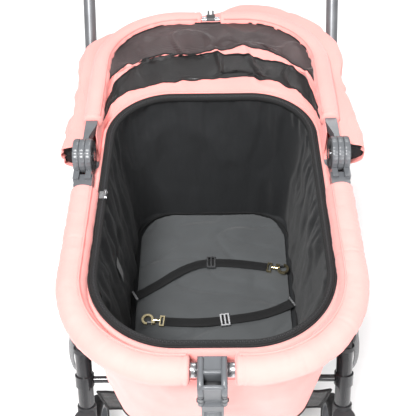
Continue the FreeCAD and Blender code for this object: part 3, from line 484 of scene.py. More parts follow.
def padded_rim():
    """The front rim's sleeve in two halves, with a hem beside the latch, and its two seams."""
    halves = []
    for side in (-1, 1):
        stations = walk(front_half(RIM_HALF, PAD_START, RIM_REACH, RIM_CORNER, PAD_GAP, side), 190, False)

        def radius(share, angle):
            to_gap = (1 - share if side < 0 else share) * PAD_RUN
            to_end = (share if side < 0 else 1 - share) * PAD_RUN
            size = PAD_R * (1 + 0.05 * math.cos(2 * angle - 0.6))
            near = min(to_gap, to_end)
            if near < PAD_NOSE:
                size -= 0.005 * (1 - near / PAD_NOSE)
            if RIM_HEM[0] < to_gap < RIM_HEM[1]:
                size -= 0.0011
            if side > 0 and abs(to_end - CROSS_SEAM) < 0.002:
                size -= 0.0014
            x = share * 9 * side
            creases = noise.noise(Vector((x * 2.2, math.sin(angle) * 0.8, 3.0 + side)))
            pleats = noise.noise(Vector((x * 9.0, math.cos(angle) * 1.2, 8.0)))
            return size + 0.0012 * creases + 0.0006 * pleats

        halves.append(rod("pad", tube_rows(stations, RIM_Z, radius, 28), "pink_fabric"))
    pad = joined("padded_rim", halves)
    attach(pad, "bed")
    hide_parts("rim_pad")
    for name, angle, size in (("rim_piping", 128, 0.0021), ("rim_lower_seam", -62, 0.0016)):
        lines = []
        for side in (-1, 1):
            stations = walk(front_half(RIM_HALF, PAD_START - 0.004, RIM_REACH, RIM_CORNER,
                                       PAD_GAP + 0.004, side), 170, False)
            a = math.radians(angle)
            moved = [(p + out * (PAD_R * math.cos(a)), out) for p, out in stations]
            lines.append(rod("cord", tube_rows(moved, RIM_Z + PAD_R * math.sin(a), size, 8), "pink_piping"))
        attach(joined(name, lines), "bed")


def bow_padding():
    """The bow's sleeve in two halves, gathered on its inner side, with a gap for the collar."""
    stations = walk(back_u(BOW_HALF, 0.085, BOW_REACH, BOW_CORNER), 300, False)
    halves = []
    middle = len(stations) // 2
    skip = 5
    for side, part in (("r", stations[:middle - skip]), ("l", stations[middle + skip + 1:])):

        def radius(share, angle):
            near = min(share, 1 - share) * BOW_RUN
            size = SLEEVE_R * (1.0 + 0.05 * math.cos(2 * angle))
            if near < PAD_NOSE:
                size -= 0.004 * (1 - near / PAD_NOSE)
            if BOW_HEM[0] < near < BOW_HEM[1]:
                size -= 0.0009
            inner = max(0.0, -math.cos(angle - 0.5))
            pleat = noise.noise(Vector((share * 34, math.cos(angle) * 1.4, 5.0 if side == "r" else 9.0)))
            swell = noise.noise(Vector((share * 8, math.sin(angle), 2.0)))
            return size + 0.0030 * pleat * inner + 0.0012 * swell

        halves.append(rod("sleeve", tube_rows(part, 0.0, radius, 24), "pink_fabric"))
    sleeve = joined("padded_bow", halves)
    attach(sleeve, "hood_bow")
    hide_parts("bow_sleeve")
    seams = []
    for part in (stations[3:middle - skip - 3], stations[middle + skip + 4:-3]):
        moved = [(p - out * (SLEEVE_R * 0.80), out) for p, out in part]
        seams.append(rod("seam", tube_rows(moved, SLEEVE_R * 0.66, 0.0014, 8), "pink_piping"))
    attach(joined("bow_seam", seams), "hood_bow")


# Bed body, liner, zip and cushion

OUTLINES = {}


def walk_point(sizes, share):
    """A point and its normal at a share of a closed outline. Each outline is worked out once."""
    count = 480
    key = tuple(round(s, 5) for s in sizes)
    if key not in OUTLINES:
        OUTLINES[key] = walk(loop_line(sizes), count, True)
    place = (share % 1.0) * count
    (p0, n0), (p1, n1) = OUTLINES[key][int(place) % count], OUTLINES[key][(int(place) + 1) % count]
    part = place - int(place)
    return p0.lerp(p1, part), n0.lerp(n1, part).normalized()


def drape(share, depth, z):
    """How far the body's fabric stands out from its plain outline."""
    around = 2 * math.pi * share
    x, y = math.cos(around), math.sin(around)
    ease = math.sin(math.pi * min(1.0, depth * 1.15))
    folds = wobble(x * 3, y * 3, z * 3.5, 1.6)
    sags = wobble(x * 6 + z * 9, y * 6, z * 6, 1.1)
    return 0.0035 * math.sin(math.pi * depth) + ease * (0.0042 * folds + 0.0030 * sags)


def bed_shell():
    """Outer body: draped walls, and a floor that closes them."""
    rows, levels, count = [], 42, 240
    for i in range(levels + 1):
        depth = i / levels
        z = SHELL_HIGH + (SHELL_LOW - SHELL_HIGH) * depth
        stations = walk(loop_line(between(SHELL_TOP, SHELL_FOOT, depth)), count, True)
        rows.append([point + out * drape(j / count, depth, z) + UP * z
                     for j, (point, out) in enumerate(stations)])
    centre = Vector((0, -0.076, 0))
    for share in (0.97, 0.90, 0.5):
        rows.append([Vector((p.x * share, centre.y + (p.y - centre.y) * share, SHELL_LOW - 0.0005))
                     for p in rows[levels]])
    body = grid("bed_body", rows, "pink_fabric", around=True)
    work = bmesh.new()
    work.from_mesh(body.data)
    rim = [edge for edge in work.edges if edge.is_boundary and edge.verts[0].co.z - HINGE.z < -0.2]
    bmesh.ops.contextual_create(work, geom=rim)
    work.to_mesh(body.data)
    work.free()
    thicken(body, 0.0016)
    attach(body, "bed")
    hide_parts("bed_shell")


def on_shell(share, z, lift):
    """A point lift above the body's fabric: share walks its outline from the middle of the front."""
    depth = (SHELL_HIGH - z) / (SHELL_HIGH - SHELL_LOW)
    point, out = walk_point(between(SHELL_TOP, SHELL_FOOT, depth), share)
    return point + out * (lift + drape(share % 1.0, depth, z)) + UP * z


def tube_along(name, points, radius, finish, sides=8):
    """A thin cord through points in space."""
    rows = []
    for n, point in enumerate(points):
        ahead = (points[min(n + 1, len(points) - 1)] - points[max(n - 1, 0)]).normalized()
        side = ahead.cross(UP)
        side = side.normalized() if side.length > 1e-4 else Vector((1, 0, 0))
        up = side.cross(ahead)
        rows.append([point + (side * math.cos(a) + up * math.sin(a)) * radius for a in turns(sides)])
    return rod(name, rows, finish)


def shell_trim():
    """Seams of the body, the front webbing with its stitched end, and a binding at the floor."""
    corners = []
    for share in (-0.355, -0.170, 0.170, 0.355):
        line = [on_shell(share, SHELL_HIGH - 0.006 - 0.300 * n / 60, 0.0004) for n in range(61)]
        corners.append(tube_along("corner", line, 0.0014, "pink_piping"))
    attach(joined("corner_seams", corners), "bed")
    for name, middle, reach, z, rise, steps, radius in (
            ("yoke_seam", 0.0, 0.185, -0.081, 0.027, 120, 0.0015),
            ("rear_seam", 0.5, 0.085, -0.175, 0.010, 80, 0.0014)):
        line = []
        for n in range(steps + 1):
            across = n / steps * 2 - 1
            line.append(on_shell(middle + across * reach, z + rise * across ** 2, 0.0006))
        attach(tube_along(name, line, radius, "pink_piping"), "bed")
    hem = [on_shell(n / 200, SHELL_LOW + 0.004, 0.0006) for n in range(201)]
    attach(tube_along("floor_binding", hem, 0.0028, "webbing"), "bed")
    points = [on_shell(0.0, -0.091 - 0.227 * n / 40, 0.0024) for n in range(41)]
    strap = ribbon_rows(points, [Vector((1, 0, 0))] * len(points), 0.030, 0.0018)
    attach(rod("front_webbing", strap, "webbing"), "bed")
    tacks = []
    for n in range(9):
        for x in (-0.011, 0.011):
            spot = on_shell(0.0, -0.096 - 0.003 * n, 0.0040) + Vector((x, 0, 0))
            tacks.append((spot, spot - UP * 0.0018))
    stitches("front_webbing_stitches", tacks, 0.0005, "grey_webbing", "bed")


THREAD_SIDES = 5


def stitches(name, pairs, radius, finish, body):
    """Short thread stitches, each a little rod between two points."""
    vertices, faces = [], []
    for start, end in pairs:
        ahead = (end - start).normalized()
        side = ahead.cross(Vector((0.3, 1, 0.2))).normalized()
        up = side.cross(ahead)
        base = len(vertices)
        for point in (start, end):
            vertices += [point + (side * math.cos(a) + up * math.sin(a)) * radius
                         for a in turns(THREAD_SIDES)]
        for k in range(THREAD_SIDES):
            k2, far = (k + 1) % THREAD_SIDES, base + THREAD_SIDES
            faces.append((base + k, base + k2, far + k2, far + k))
        faces.append(tuple(base + k for k in range(THREAD_SIDES))[::-1])
        faces.append(tuple(base + THREAD_SIDES + k for k in range(THREAD_SIDES)))
    thread = piece(name, vertices, faces, finish)
    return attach(thread, body)


PULL_ROOM = 0.0032          # how far the side walls may come in beside the hanging zip pull


def liner_point(share, z, lift=0.0):
    """A point of the wrinkled inner wall, lift nearer the inside than the cloth."""
    depth = (LINER_HIGH - z) / (LINER_HIGH - LINER_LOW)
    point, out = walk_point(between(LINER_TOP, LINER_FOOT, round(depth, 4)), share)
    around = 2 * math.pi * (share % 1.0)
    x, y = math.cos(around), math.sin(around)
    ease = min(1.0, depth * 5) * (1.0 - 0.5 * depth)
    vertical = noise.noise(Vector((x * 7.5, y * 7.5, depth * 0.9)))
    crease = abs(noise.noise(Vector((x * 4.2 + depth, y * 4.2, depth * 1.6 + 5))))
    broad = wobble(x * 2, y * 2, z * 5, 1.3)
    gather = math.exp(-depth * 3.2) * min(1.0, depth * 12)
    pucker = gather * noise.noise(Vector((x * 19, y * 19, 4.0)))
    fold = 0.0075 + 0.0130 * vertical - 0.0200 * crease + 0.0070 * broad
    inward = 0.0015 + ease * fold + 0.012 * pucker + 0.0070 * math.exp(-depth * 16)
    beside = min(1.0, max(0.0, abs(out.x) - 0.8) / 0.15)
    inward = min(inward, PULL_ROOM + 0.6 * max(0.0, -0.054 - z) + 0.02 * (1 - beside))
    return point - out * (max(0.0, inward) + lift) + UP * z


def liner():
    """The black lining, wrinkled down its walls, with its two vents and its label."""
    levels, count = 46, 420
    rows = []
    for i in range(levels + 1):
        z = LINER_HIGH + (LINER_LOW - LINER_HIGH) * i / levels
        rows.append([liner_point(j / count, z) for j in range(count)])
    floor_z = LINER_LOW + 0.0008
    for share in (0.96, 0.5):
        rows.append([Vector((p.x * share, -0.075 + (p.y + 0.075) * share, floor_z)) for p in rows[levels]])
    wall = grid("bed_lining", rows, "liner_fabric", around=True)
    thicken(wall, 0.0010)
    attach(wall, "bed")
    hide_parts("bed_liner")
    for side in (-1, 1):
        corner_vent(side)
    label()


def corner_vent(side):
    """A half-oval mesh vent with a bound edge, at a front corner of the lining."""
    middle, spread, drop = side * 0.126, 0.028, 0.062
    side_name = "left" if side < 0 else "right"
    top = LINER_HIGH - 0.006

    def point(down, across):
        width = spread * math.sqrt(max(0.0, 1 - down ** 2))
        return liner_point(middle + width * (across * 2 - 1), top - drop * down, 0.0022)

    mesh = grid("vent_mesh_" + side_name, sheet_rows(14, 14, point), "sheer_mesh")
    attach(thicken(mesh, 0.0006), "bed")
    edge = []
    for n in range(41):
        angle = math.pi * n / 40
        edge.append(liner_point(middle + spread * math.cos(angle), top - drop * math.sin(angle), 0.0028))
    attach(tube_along("vent_binding_" + side_name, edge, 0.0020, "webbing"), "bed")


def label():
    """A plain woven label sewn by its top edge to the left wall."""
    def point(down, across):
        lift = 0.0025 + 0.004 * math.sin(math.pi * 0.6 * down)
        return liner_point(0.765 + 0.017 * (across - 0.5), -0.165 - 0.052 * down, lift)

    tag = grid("blank_label", sheet_rows(8, 6, point), "grey_webbing")
    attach(thicken(tag, 0.0005, 1), "bed")


def zip_line():
    """Tape, welt and toothed chain of the zip, a band just inside the rims."""
    count = 360
    profile = [(0.0060, 0.0010), (0.0035, 0.0020), (0.0012, 0.0006), (-0.0012, 0.0006),
               (-0.0034, 0.0016), (-0.0048, -0.0010), (-0.0050, -0.0050)]
    loop = walk(loop_line(ZIP_LINE), count, True)
    rows = [[p + out * a + UP * (ZIP_Z + b) for p, out in loop] for a, b in profile]
    tape = grid("zip_tape", rows, "webbing", around=True)
    thicken(tape, 0.0009)
    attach(tape, "bed")
    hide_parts("zipper_tape")
    welt = [[p + out * (0.0078 + 0.0014 * math.cos(a)) + UP * (ZIP_Z + 0.001 + 0.0014 * math.sin(a))
             for a in turns(8)] for p, out in loop]
    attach(grid("zip_welt", welt, "webbing", around=True, ring=True), "bed")
    vertices, faces = [], []
    for n, (p, out) in enumerate(walk(loop_line(ZIP_LINE), 520, True)):
        ahead = out.cross(UP)
        shift = 0.0006 if n % 2 else -0.0006
        base = len(vertices)
        for c, grow in ((0.0002, 1.0), (0.0026, 0.7)):
            for a, b in ((-1, -1), (1, -1), (1, 1), (-1, 1)):
                vertices.append(p + out * (shift + a * 0.0016 * grow) + ahead * (b * 0.0010 * grow)
                                + UP * (ZIP_Z + c))
        faces += [(base, base + 1, base + 2, base + 3)[::-1], (base + 4, base + 5, base + 6, base + 7)]
        faces += [(base + k, base + (k + 1) % 4, base + 4 + (k + 1) % 4, base + 4 + k) for k in range(4)]
    chain = piece("zip_teeth", vertices, faces, "black_plastic")
    chain.data.polygons.foreach_set("use_smooth", [False] * len(chain.data.polygons))
    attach(chain, "bed")


def facing():
    """The pink strip that joins the rims to the zip, all round, and the rear rim's thin sleeve."""
    edge = [size + more for size, more in zip(ZIP_LINE, (0.010, -0.010, 0.010, 0.01, 0.01))]
    inner = walk(loop_line(edge), 320, True)
    rows = []
    for share in (0.0, 0.2, 0.45, 0.7, 1.0):
        row = []
        for point, out in inner:
            back = point.y > 0.0
            width = 0.0085 if back else 0.016
            crinkle = noise.noise(Vector((point.x * 60, point.y * 60, share)))
            rise = (0.004 + 0.003 * crinkle) * math.sin(math.pi * share)
            drop = 0.018 if back else 0.010
            row.append(point + out * (width * share) + UP * (ZIP_Z + 0.001 + rise - drop * share ** 2))
        rows.append(row)
    strip = grid("zip_facing", rows, "pink_fabric", around=True)
    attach(thicken(strip, 0.0012), "bed")
    stations = walk(back_u(REAR_HALF, 0.018, REAR_REACH, REAR_CORNER), 150, False)

    def radius(share, angle):
        return 0.0092 + 0.0009 * noise.noise(Vector((share * 26, math.cos(angle), math.sin(angle))))

    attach(rod("rear_rim_sleeve", tube_rows(stations, REAR_Z, radius, 14), "pink_fabric"), "bed")


FILL_STEPS, FILL_PRESSURE, FILL_REACH = 20, 4.0, 0.008
CUSHION_EDGE, CUSHION_DROP = 0.05, 0.0075            # how wide and how deep its top falls off at the sides


def floor_cushion():
    """Filled by a short cloth simulation, then flattened on top where it carries the pet."""
    half, front, back, front_r, back_r = LINER_FOOT
    sizes = (half - 0.004, front + 0.004, back - 0.004, front_r + 0.010, back_r + 0.035)
    base, top = CUSHION_TOP - 0.0195, CUSHION_TOP - 0.006
    outline = [p for p, out in walk(loop_line(sizes), 120, True)]
    vertices = [p + UP * base for p in outline] + [p + UP * top for p in outline]
    count = len(outline)
    faces = [tuple(range(count))[::-1], tuple(range(count, 2 * count))]
    faces += [(k, (k + 1) % count, count + (k + 1) % count, count + k) for k in range(count)]
    pad = piece("cushion", vertices, faces, "cushion_fabric")
    remesh = pad.modifiers.new("remesh", "REMESH")
    remesh.mode, remesh.voxel_size = "VOXEL", 0.005
    applied(pad)
    rest = [v.co.copy() for v in pad.data.vertices]
    cloth = pad.modifiers.new("cloth", "CLOTH")
    cloth.settings.use_pressure = True
    cloth.settings.uniform_pressure_force = FILL_PRESSURE
    cloth.settings.effector_weights.gravity = 0.0
    cloth.settings.quality = 4
    bpy.context.scene.frame_start, bpy.context.scene.frame_end = 1, FILL_STEPS
    for step in range(FILL_STEPS):
        bpy.context.scene.frame_set(step + 1)
    applied(pad)
    bpy.context.scene.frame_set(1)
    ceiling, ground = HINGE.z + CUSHION_TOP, HINGE.z + base
    for vertex, start in zip(pad.data.vertices, rest):
        move = vertex.co - start
        if move.length > FILL_REACH:
            move.length = FILL_REACH
        vertex.co = start + move
        x, y = vertex.co.x - HINGE.x, vertex.co.y - HINGE.y
        edge = min(sizes[0] - abs(x), y - sizes[1], sizes[2] - y)
        if start.z > (ceiling + ground) / 2:
            crown = min(1.0, max(0.0, edge) / CUSHION_EDGE)
            crown = crown * crown * (3 - 2 * crown)
            slow = wobble(x * 1.0, y * 2.2, 0.4, 7.0)
            fold = abs(noise.noise(Vector((x * 5 + y * 9, y * 13 - x * 6, 1.7))))
            crease = abs(noise.noise(Vector((x * 4 - y * 7, y * 9 + x * 5, 6.2))))
            dips = (0.0040 * (0.5 - slow) + 0.0060 * max(0.0, 1 - fold / 0.22) ** 2
                    + 0.0040 * max(0.0, 1 - crease / 0.16) ** 2)
            level = ceiling - CUSHION_DROP * (1 - crown) - max(0.0, dips) * (0.3 + 0.7 * crown)
            vertex.co.z = min(vertex.co.z, level) if crown < 0.3 else level
        vertex.co.z = max(vertex.co.z, ground)
    pad.data.polygons.foreach_set("use_smooth", [True] * len(pad.data.polygons))
    pad.modifiers.new("smooth", "SUBSURF").levels = 1
    applied(pad)
    layer = pad.data.uv_layers.new(name="metres")
    for loop in pad.data.loops:
        spot = pad.data.vertices[loop.vertex_index].co
        layer.data[loop.index].uv = (spot.x, spot.y + spot.z)
    pad.name = pad.data.name = "floor_pad"
    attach(pad, "bed")
    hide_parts("floor_cushion")
    welt = [p + UP * (CUSHION_TOP - 0.0125) + out * 0.0010 for p, out in walk(loop_line(sizes), 240, True)]
    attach(tube_along("floor_pad_piping", welt + welt[:1], 0.0022, "webbing"), "bed")


# Tether straps

def tether(side):
    """A leash on the cushion, from its ring at the wall to its snap hook."""
    points = STRAP_ROUTES[side]
    z = CUSHION_TOP + 0.0008 + STRAP_T / 2
    curve = bpy.data.curves.new("route_" + side, "CURVE")
    curve.dimensions = "3D"
    spline = curve.splines.new("NURBS")
    spline.points.add(len(points) - 1)
    for knot, (x, y) in zip(spline.points, points):
        knot.co = (*(Vector((x, y, z)) + HINGE), 1)
    spline.order_u = 3
    spline.use_endpoint_u = True
    spline.resolution_u = 12
    guide = bpy.data.objects.new("route_" + side, curve)
    line = bpy.data.meshes.new_from_object(guide)
    path = [v.co.copy() for v in line.vertices]
    bpy.data.objects.remove(guide)
    local = [p - HINGE for p in path]
    sides = []
    for n in range(len(local)):
        ahead = local[min(n + 1, len(local) - 1)] - local[max(n - 1, 0)]
        sides.append(ahead.cross(UP).normalized())
    strap = rod("leash_" + side, ribbon_rows(local, sides, STRAP_W, 0.0020), "webbing")
    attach(strap, "bed")
    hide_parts("tether_strap_" + side)
    length = sum((b - a).length for a, b in zip(path, path[1:]))
    tuple(path[0])
    [tuple(p) for p in path]


# Hood

def level_between(knots, share):
    """A smooth value between (share, value) knots."""
    for (a, low), (b, high) in zip(knots, knots[1:]):
        if share <= b:
            part = (share - a) / (b - a)
            part = part * part * (3 - 2 * part)
            return low + (high - low) * part
    return knots[-1][1]


# How far the folded canopy stands out beyond the bow, from the right hinge round to the left
BULGE = [(0.0, 0.042), (0.05, 0.042), (0.12, 0.032), (0.19, 0.026), (0.26, 0.042), (0.33, 0.050),
         (0.42, 0.052), (0.49, 0.026), (0.56, 0.004), (0.66, 0.018), (0.74, 0.040), (0.80, 0.030),
         (0.88, 0.028), (0.95, 0.038), (1.0, 0.040)]
# The share of its full puff that its back has, along the same way
PUFF = [(0.0, 0.0), (0.16, 0.2), (0.28, 0.9), (0.34, 1.0), (0.44, 1.0), (0.52, 0.3), (0.60, 0.0),
        (0.70, 0.6), (0.76, 0.8), (0.84, 0.3), (1.0, 0.0)]


def hood_blend(thing):
    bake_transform(thing)


def canopy_column(t, rear, bow):
    """The canopy's section: from the rear rim, down under the bow, out and up to its back."""
    p0, (p1, n1) = rear[0], bow
    bulge = level_between(BULGE, t)
    ends = min(1.0, min(t, 1 - t) / 0.10)
    drop = 0.020 + 0.018 * ends
    puff = level_between(PUFF, t)
    return smooth_line([
        p0 - UP * 0.047,
        p0.lerp(p1, 0.5) - UP * (0.050 + drop * 0.7),
        p1 + n1 * 0.006 - UP * (0.048 + drop),
        p1 + n1 * (SLEEVE_R + bulge * 0.8) - UP * (0.044 + drop * 0.7),
        p1 + n1 * (SLEEVE_R + bulge) - UP * (0.036 - 0.014 * puff),
        p1 + n1 * (SLEEVE_R + bulge * 0.86) - UP * (0.019 - 0.016 * puff),
        p1 + n1 * (SLEEVE_R + bulge * 0.40) - UP * (0.0125 - 0.0110 * puff),
        p1 + n1 * (SLEEVE_R * 0.84) - UP * (0.0060 - 0.0040 * puff),
        p1 + n1 * 0.0105 - UP * 0.001], 8)


def hood_cover():
    """Pink canopy, folded behind and outside the bow, with a near-black sheet across each of its two open
    ends as painted shade inside the fold.
    """
    count = 260
    rear = walk(back_u(REAR_HALF + 0.006, 0.034, REAR_REACH + 0.006, REAR_CORNER), count, False)
    bow = walk(back_u(BOW_HALF, 0.036, BOW_REACH, BOW_CORNER), count, False)
    columns = []
    for j in range(count + 1):
        t = j / count
        column = canopy_column(t, rear[j], bow[j])
        n1, last = bow[j][1], len(column) - 1
        for i, point in enumerate(column):
            s = i / last
            loose = math.sin(math.pi * min(1.0, s * 1.08)) * min(1.0, level_between(BULGE, t) / 0.02)
            wave = wobble(point.x * 6, point.y * 6, s * 2.2, 1.7)
            pleat = noise.noise(Vector((t * 52, s * 2.4, 4.0)))
            fold = abs(noise.noise(Vector((t * 13 + s * 2, s * 5, 8.0))))
            shift = loose * (0.0060 * wave + 0.0020 * pleat - 0.0060 * max(0.0, 0.22 - fold) / 0.22)
            column[i] = point + n1 * shift
        columns.append(column)
    cover = grid("hood_canopy", [[column[i] for column in columns] for i in range(len(columns[0]))],
                 "pink_fabric")
    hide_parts("hood_bundle")
    thicken(cover, 0.0011)
    hood_blend(cover)
    # Painted shade: a near-black sheet of the lining cloth closes each open end and stands for the shadow
    # inside the folded canopy.
    for side, index in (("right", 2), ("left", count - 2)):
        column = columns[index]
        middle = sum(column, Vector((0, 0, 0))) / len(column)
        rows = []
        for share in (0.93, 0.6, 0.3, 0.04):
            sink = Vector((0, 0.012 * (1 - share), 0))
            rows.append([middle + (p - middle) * share + sink for p in column])
        shade_cap = thicken(grid("canopy_end_shade_" + side, rows, "liner_fabric"), 0.0008)
        hood_blend(shade_cap)


def lining_point(s, t, rear, bow):
    """A point of the pleated inner hood: s runs from the rear rim to the bow, t along them."""
    place = t * (len(rear) - 1)
    index = min(int(place), len(rear) - 2)
    part = place - index
    p0 = rear[index][0].lerp(rear[index + 1][0], part)
    p1 = bow[index][0].lerp(bow[index + 1][0], part)
    ends, hold = math.sin(math.pi * s), min(1.0, 4 * min(t, 1 - t))
    drift = noise.noise(Vector((t * 7.0, 2.0, 0.5)))
    fold = math.sin(2 * math.pi * (2.5 * s + 0.45 * drift))
    crumple = wobble(t * 10, s * 3.0, 1.0, 1.5)
    ridge = noise.noise(Vector((t * 24, s * 5, 7.0)))
    slant = abs(noise.noise(Vector((t * 9 + s * 1.5, s * 3.5 - t * 3, 5.5))))
    shove = (0.060 * fold + 0.055 * crumple + 0.034 * ridge) * ends * (0.25 + 0.75 * hold)
    lift = ends * hold * (0.0055 * noise.noise(Vector((t * 18, s * 5, 3.0)))
                          + 0.0060 * max(0.0, 1 - slant / 0.16) - 0.0020)
    return p0.lerp(p1, s) + (p1 - p0) * shove + UP * (-0.034 + 0.0375 * s + lift)


def band_edges(t):
    """Shares of the inner hood where the dark mesh and the sheer mesh start and end."""
    spread = abs(t - 0.5) * 2
    ripple = 0.014 * noise.noise(Vector((t * 26, 1.0, 0.0)))
    dark = 0.165 * math.sqrt(max(0.0, 1 - (spread / 0.80) ** 2))
    sheer = 0.205 * math.sqrt(max(0.0, 1 - (spread / 0.66) ** 2))
    dark_mid, sheer_mid = 0.35 + 0.02 * spread ** 2 + ripple, 0.765 + 0.09 * spread - ripple
    return dark_mid - dark, dark_mid + dark, sheer_mid - sheer, sheer_mid + sheer


def hood_lining():
    """Pleated bands between the rear rim and the inside of the bow, with bound edges."""
    count = 300
    rear = walk(back_u(REAR_HALF - 0.004, 0.030, REAR_REACH - 0.002, REAR_CORNER), count, False)
    bow = walk(back_u(BOW_HALF - 0.010, 0.050, BOW_REACH - 0.010, BOW_CORNER), count, False)

    def band(name, finish, low, start, levels):
        """One band, between edge low and the next, left out near the hinges as far as start."""

        def point(down, across):
            t = start + (1 - 2 * start) * across
            edges = (0.0, *band_edges(t), 1.0)
            return lining_point(edges[low] + (edges[low + 1] - edges[low]) * down, t, rear, bow)

        rows = sheet_rows(levels, count, point)
        cloth = grid(name, rows, finish)
        hood_blend(thicken(cloth, 0.0008))
        return rows[0], rows[-1]

    band("hood_strip_rear", "pink_fabric", 0, 0.0, 12)
    band("hood_strip_middle", "pink_fabric", 2, 0.0, 16)
    band("hood_strip_front", "pink_fabric", 4, 0.0, 8)
    for name, finish, low, start, flat, area in (
            ("hood_mesh_rear", "mesh_fabric", 1, 0.106, (0.61, 0.085), 0.028),
            ("hood_mesh_sheer", "sheer_mesh", 3, 0.177, (0.59, 0.090), 0.033)):
        first, last = band(name, finish, low, start, 34)
        for edge, line in (("low", first), ("high", last)):
            lifted = [p + UP * 0.0008 for p in line]
            hood_blend(tube_along(name + "_binding_" + edge, lifted, 0.0015, "webbing"))


# Hinges, wheels, basket and small hardware

def hinge_dress():
    """Rounded ribbed bands on the three plates, ribs on the inner face and a cap over the pin."""
    for side, sign in SIDES:
        for n, body in ((-1, "bed"), (0, "hood_bow"), (1, "bed")):
            middle = sign * (DISC_X + PLATE_STEP * n)
            half, steps = PLATE / 2, 8
            profile = [(-half, DISC_R - 0.004)]
            for k in range(steps + 1):
                x = -half + PLATE * k / steps
                swell = 0.0010 * math.sqrt(max(0.0, 1 - (x / half) ** 2))
                profile.append((x * 0.97, DISC_R + swell + 0.0001))
            profile.append((half, DISC_R - 0.004))

            def depth(index, turn):
                return -0.0007 if 1 < index < steps + 1 and turn % 4 == 0 else 0.0

            name = "hinge_band_%s_%s" % (side, ("inner", "middle", "outer")[n + 1])
            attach(lathe(name, (middle, 0, 0), profile, "grey_plastic", 96, depth), body)
        face = sign * (DISC_X - PLATE_STEP - PLATE / 2)
        ribs = []
        for angle in turns(12):
            way = Vector((0, math.cos(angle), math.sin(angle)))
            line = [Vector((face - sign * 0.0008, 0, 0)) + way * r for r in (0.011, 0.016, 0.021, 0.0265)]
            ribs.append(tube_along("rib", line, 0.0016, "black_plastic", 6))
        profile = [(-0.0015, 0.0265), (0.0, 0.0285), (0.0015, 0.0265), (0.0, 0.0250), (-0.0015, 0.0265)]
        ring = lathe("ring", (face - sign * 0.0006, 0, 0), profile, "black_plastic", 60)
        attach(joined("hinge_ribs_" + side, ribs + [ring]), "bed")
        out = sign * (DISC_X + PLATE_STEP + PLATE / 2 + 0.0006)
        profile = [(0.0, 0.012), (sign * 0.0012, 0.0118), (sign * 0.0022, 0.0095), (sign * 0.0026, 0.0001)]
        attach(lathe("hinge_cap_" + side, (out, 0, 0), profile, "black_plastic", 40), "bed")


def latch_trim():
    """Rounded shoulders beside the latch's window, the rim tube inside it, and the lever's ribs."""
    shoulders = []
    for sign in (-1, 1):
        edge = ((-0.394, -0.0110), (-0.412, -0.0105), (-0.430, -0.0120), (-0.4395, -0.0200),
                (-0.4405, -0.0360), (-0.4405, -0.0560))
        line = smooth_line([Vector((sign * 0.0165, y, z)) for y, z in edge], 6)
        shoulders.append(tube_along("shoulder", line, 0.0046, "grey_plastic", 12))
    for y, z in ((-0.4375, -0.0135), (-0.4155, -0.0115)):
        line = [Vector((x * 0.0165, y, z)) for x in (-1, -0.5, 0, 0.5, 1)]
        rows = [[p + Vector((0, math.cos(a), math.sin(a))) * 0.0034 for a in turns(12)] for p in line]
        shoulders.append(rod("bar", rows, "grey_plastic"))
    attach(joined("latch_shoulders", shoulders), "bed")
    sleeve = [(-0.0075, 0.0101), (-0.0070, 0.0108), (0.0100, 0.0108), (0.0105, 0.0101)]
    ends = []
    for side, sign in SIDES:
        place = (sign * 0.029, RIM_REACH, RIM_Z)
        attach(lathe("rim_ferrule_" + side, place, sleeve, "steel", 40), "bed")
        head = [(0.0, 0.0034), (sign * 0.0012, 0.0032), (sign * 0.0016, 0.0020), (sign * 0.0016, 0.0001)]
        ends.append(lathe("end", (sign * 0.0212, -0.435, -0.055), head, "black_plastic", 24))
    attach(joined("latch_pin_ends", ends), "bed")
    drum = [(-0.0117, 0.0001), (-0.0117, 0.0060), (-0.004, 0.0068), (0.004, 0.0068), (0.0117, 0.0060),
            (0.0117, 0.0001)]
    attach(lathe("latch_drum", (0, -0.4265, -0.030), drum, "black_plastic", 36), "bed")
    ribs = []
    for z in (-0.071, -0.075, -0.079, -0.083):
        line = [Vector((x, -0.4462, z)) for x in (-0.0125, -0.006, 0, 0.006, 0.0125)]
        ribs.append(tube_along("rib", line, 0.0010, "grey_plastic", 8))
    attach(joined("lever_ribs", ribs), "latch_lever")


def screw(name, place, sign, radius, body):
    """A domed screw head with a cross recess, facing out along X."""
    profile = [(0.0, radius), (sign * radius * 0.35, radius * 0.92), (sign * radius * 0.55, radius * 0.6),
               (sign * radius * 0.6, 0.0001)]

    def recess(index, turn):
        return -radius * 0.35 if index == 2 and turn % 6 < 2 else 0.0

    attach(lathe(name, place, profile, "steel", 24, recess), body)


def screws():
    """Heads on the fold hubs, the handle hubs and the clamps of the hood's hinges."""
    low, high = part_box("frame_bolts")
    for side, sign in SIDES:
        x = (low.x if sign < 0 else high.x) - HINGE.x
        screw("hub_screw_" + side, (x, -0.150, -0.335), sign, 0.0068, "chassis")
        screw("hub_side_screw_" + side, (sign * 0.2726, -0.136, -0.328), sign, 0.0040, "chassis")
        screw("handle_screw_" + side, (x, 0.365, -0.083), sign, 0.0068, "chassis")
        screw("clamp_screw_" + side, (sign * 0.2356, -0.052, -0.019), sign, 0.0036, "bed")
        screw("clamp_screw_low_" + side, (sign * 0.2356, -0.040, -0.034), sign, 0.0036, "bed")


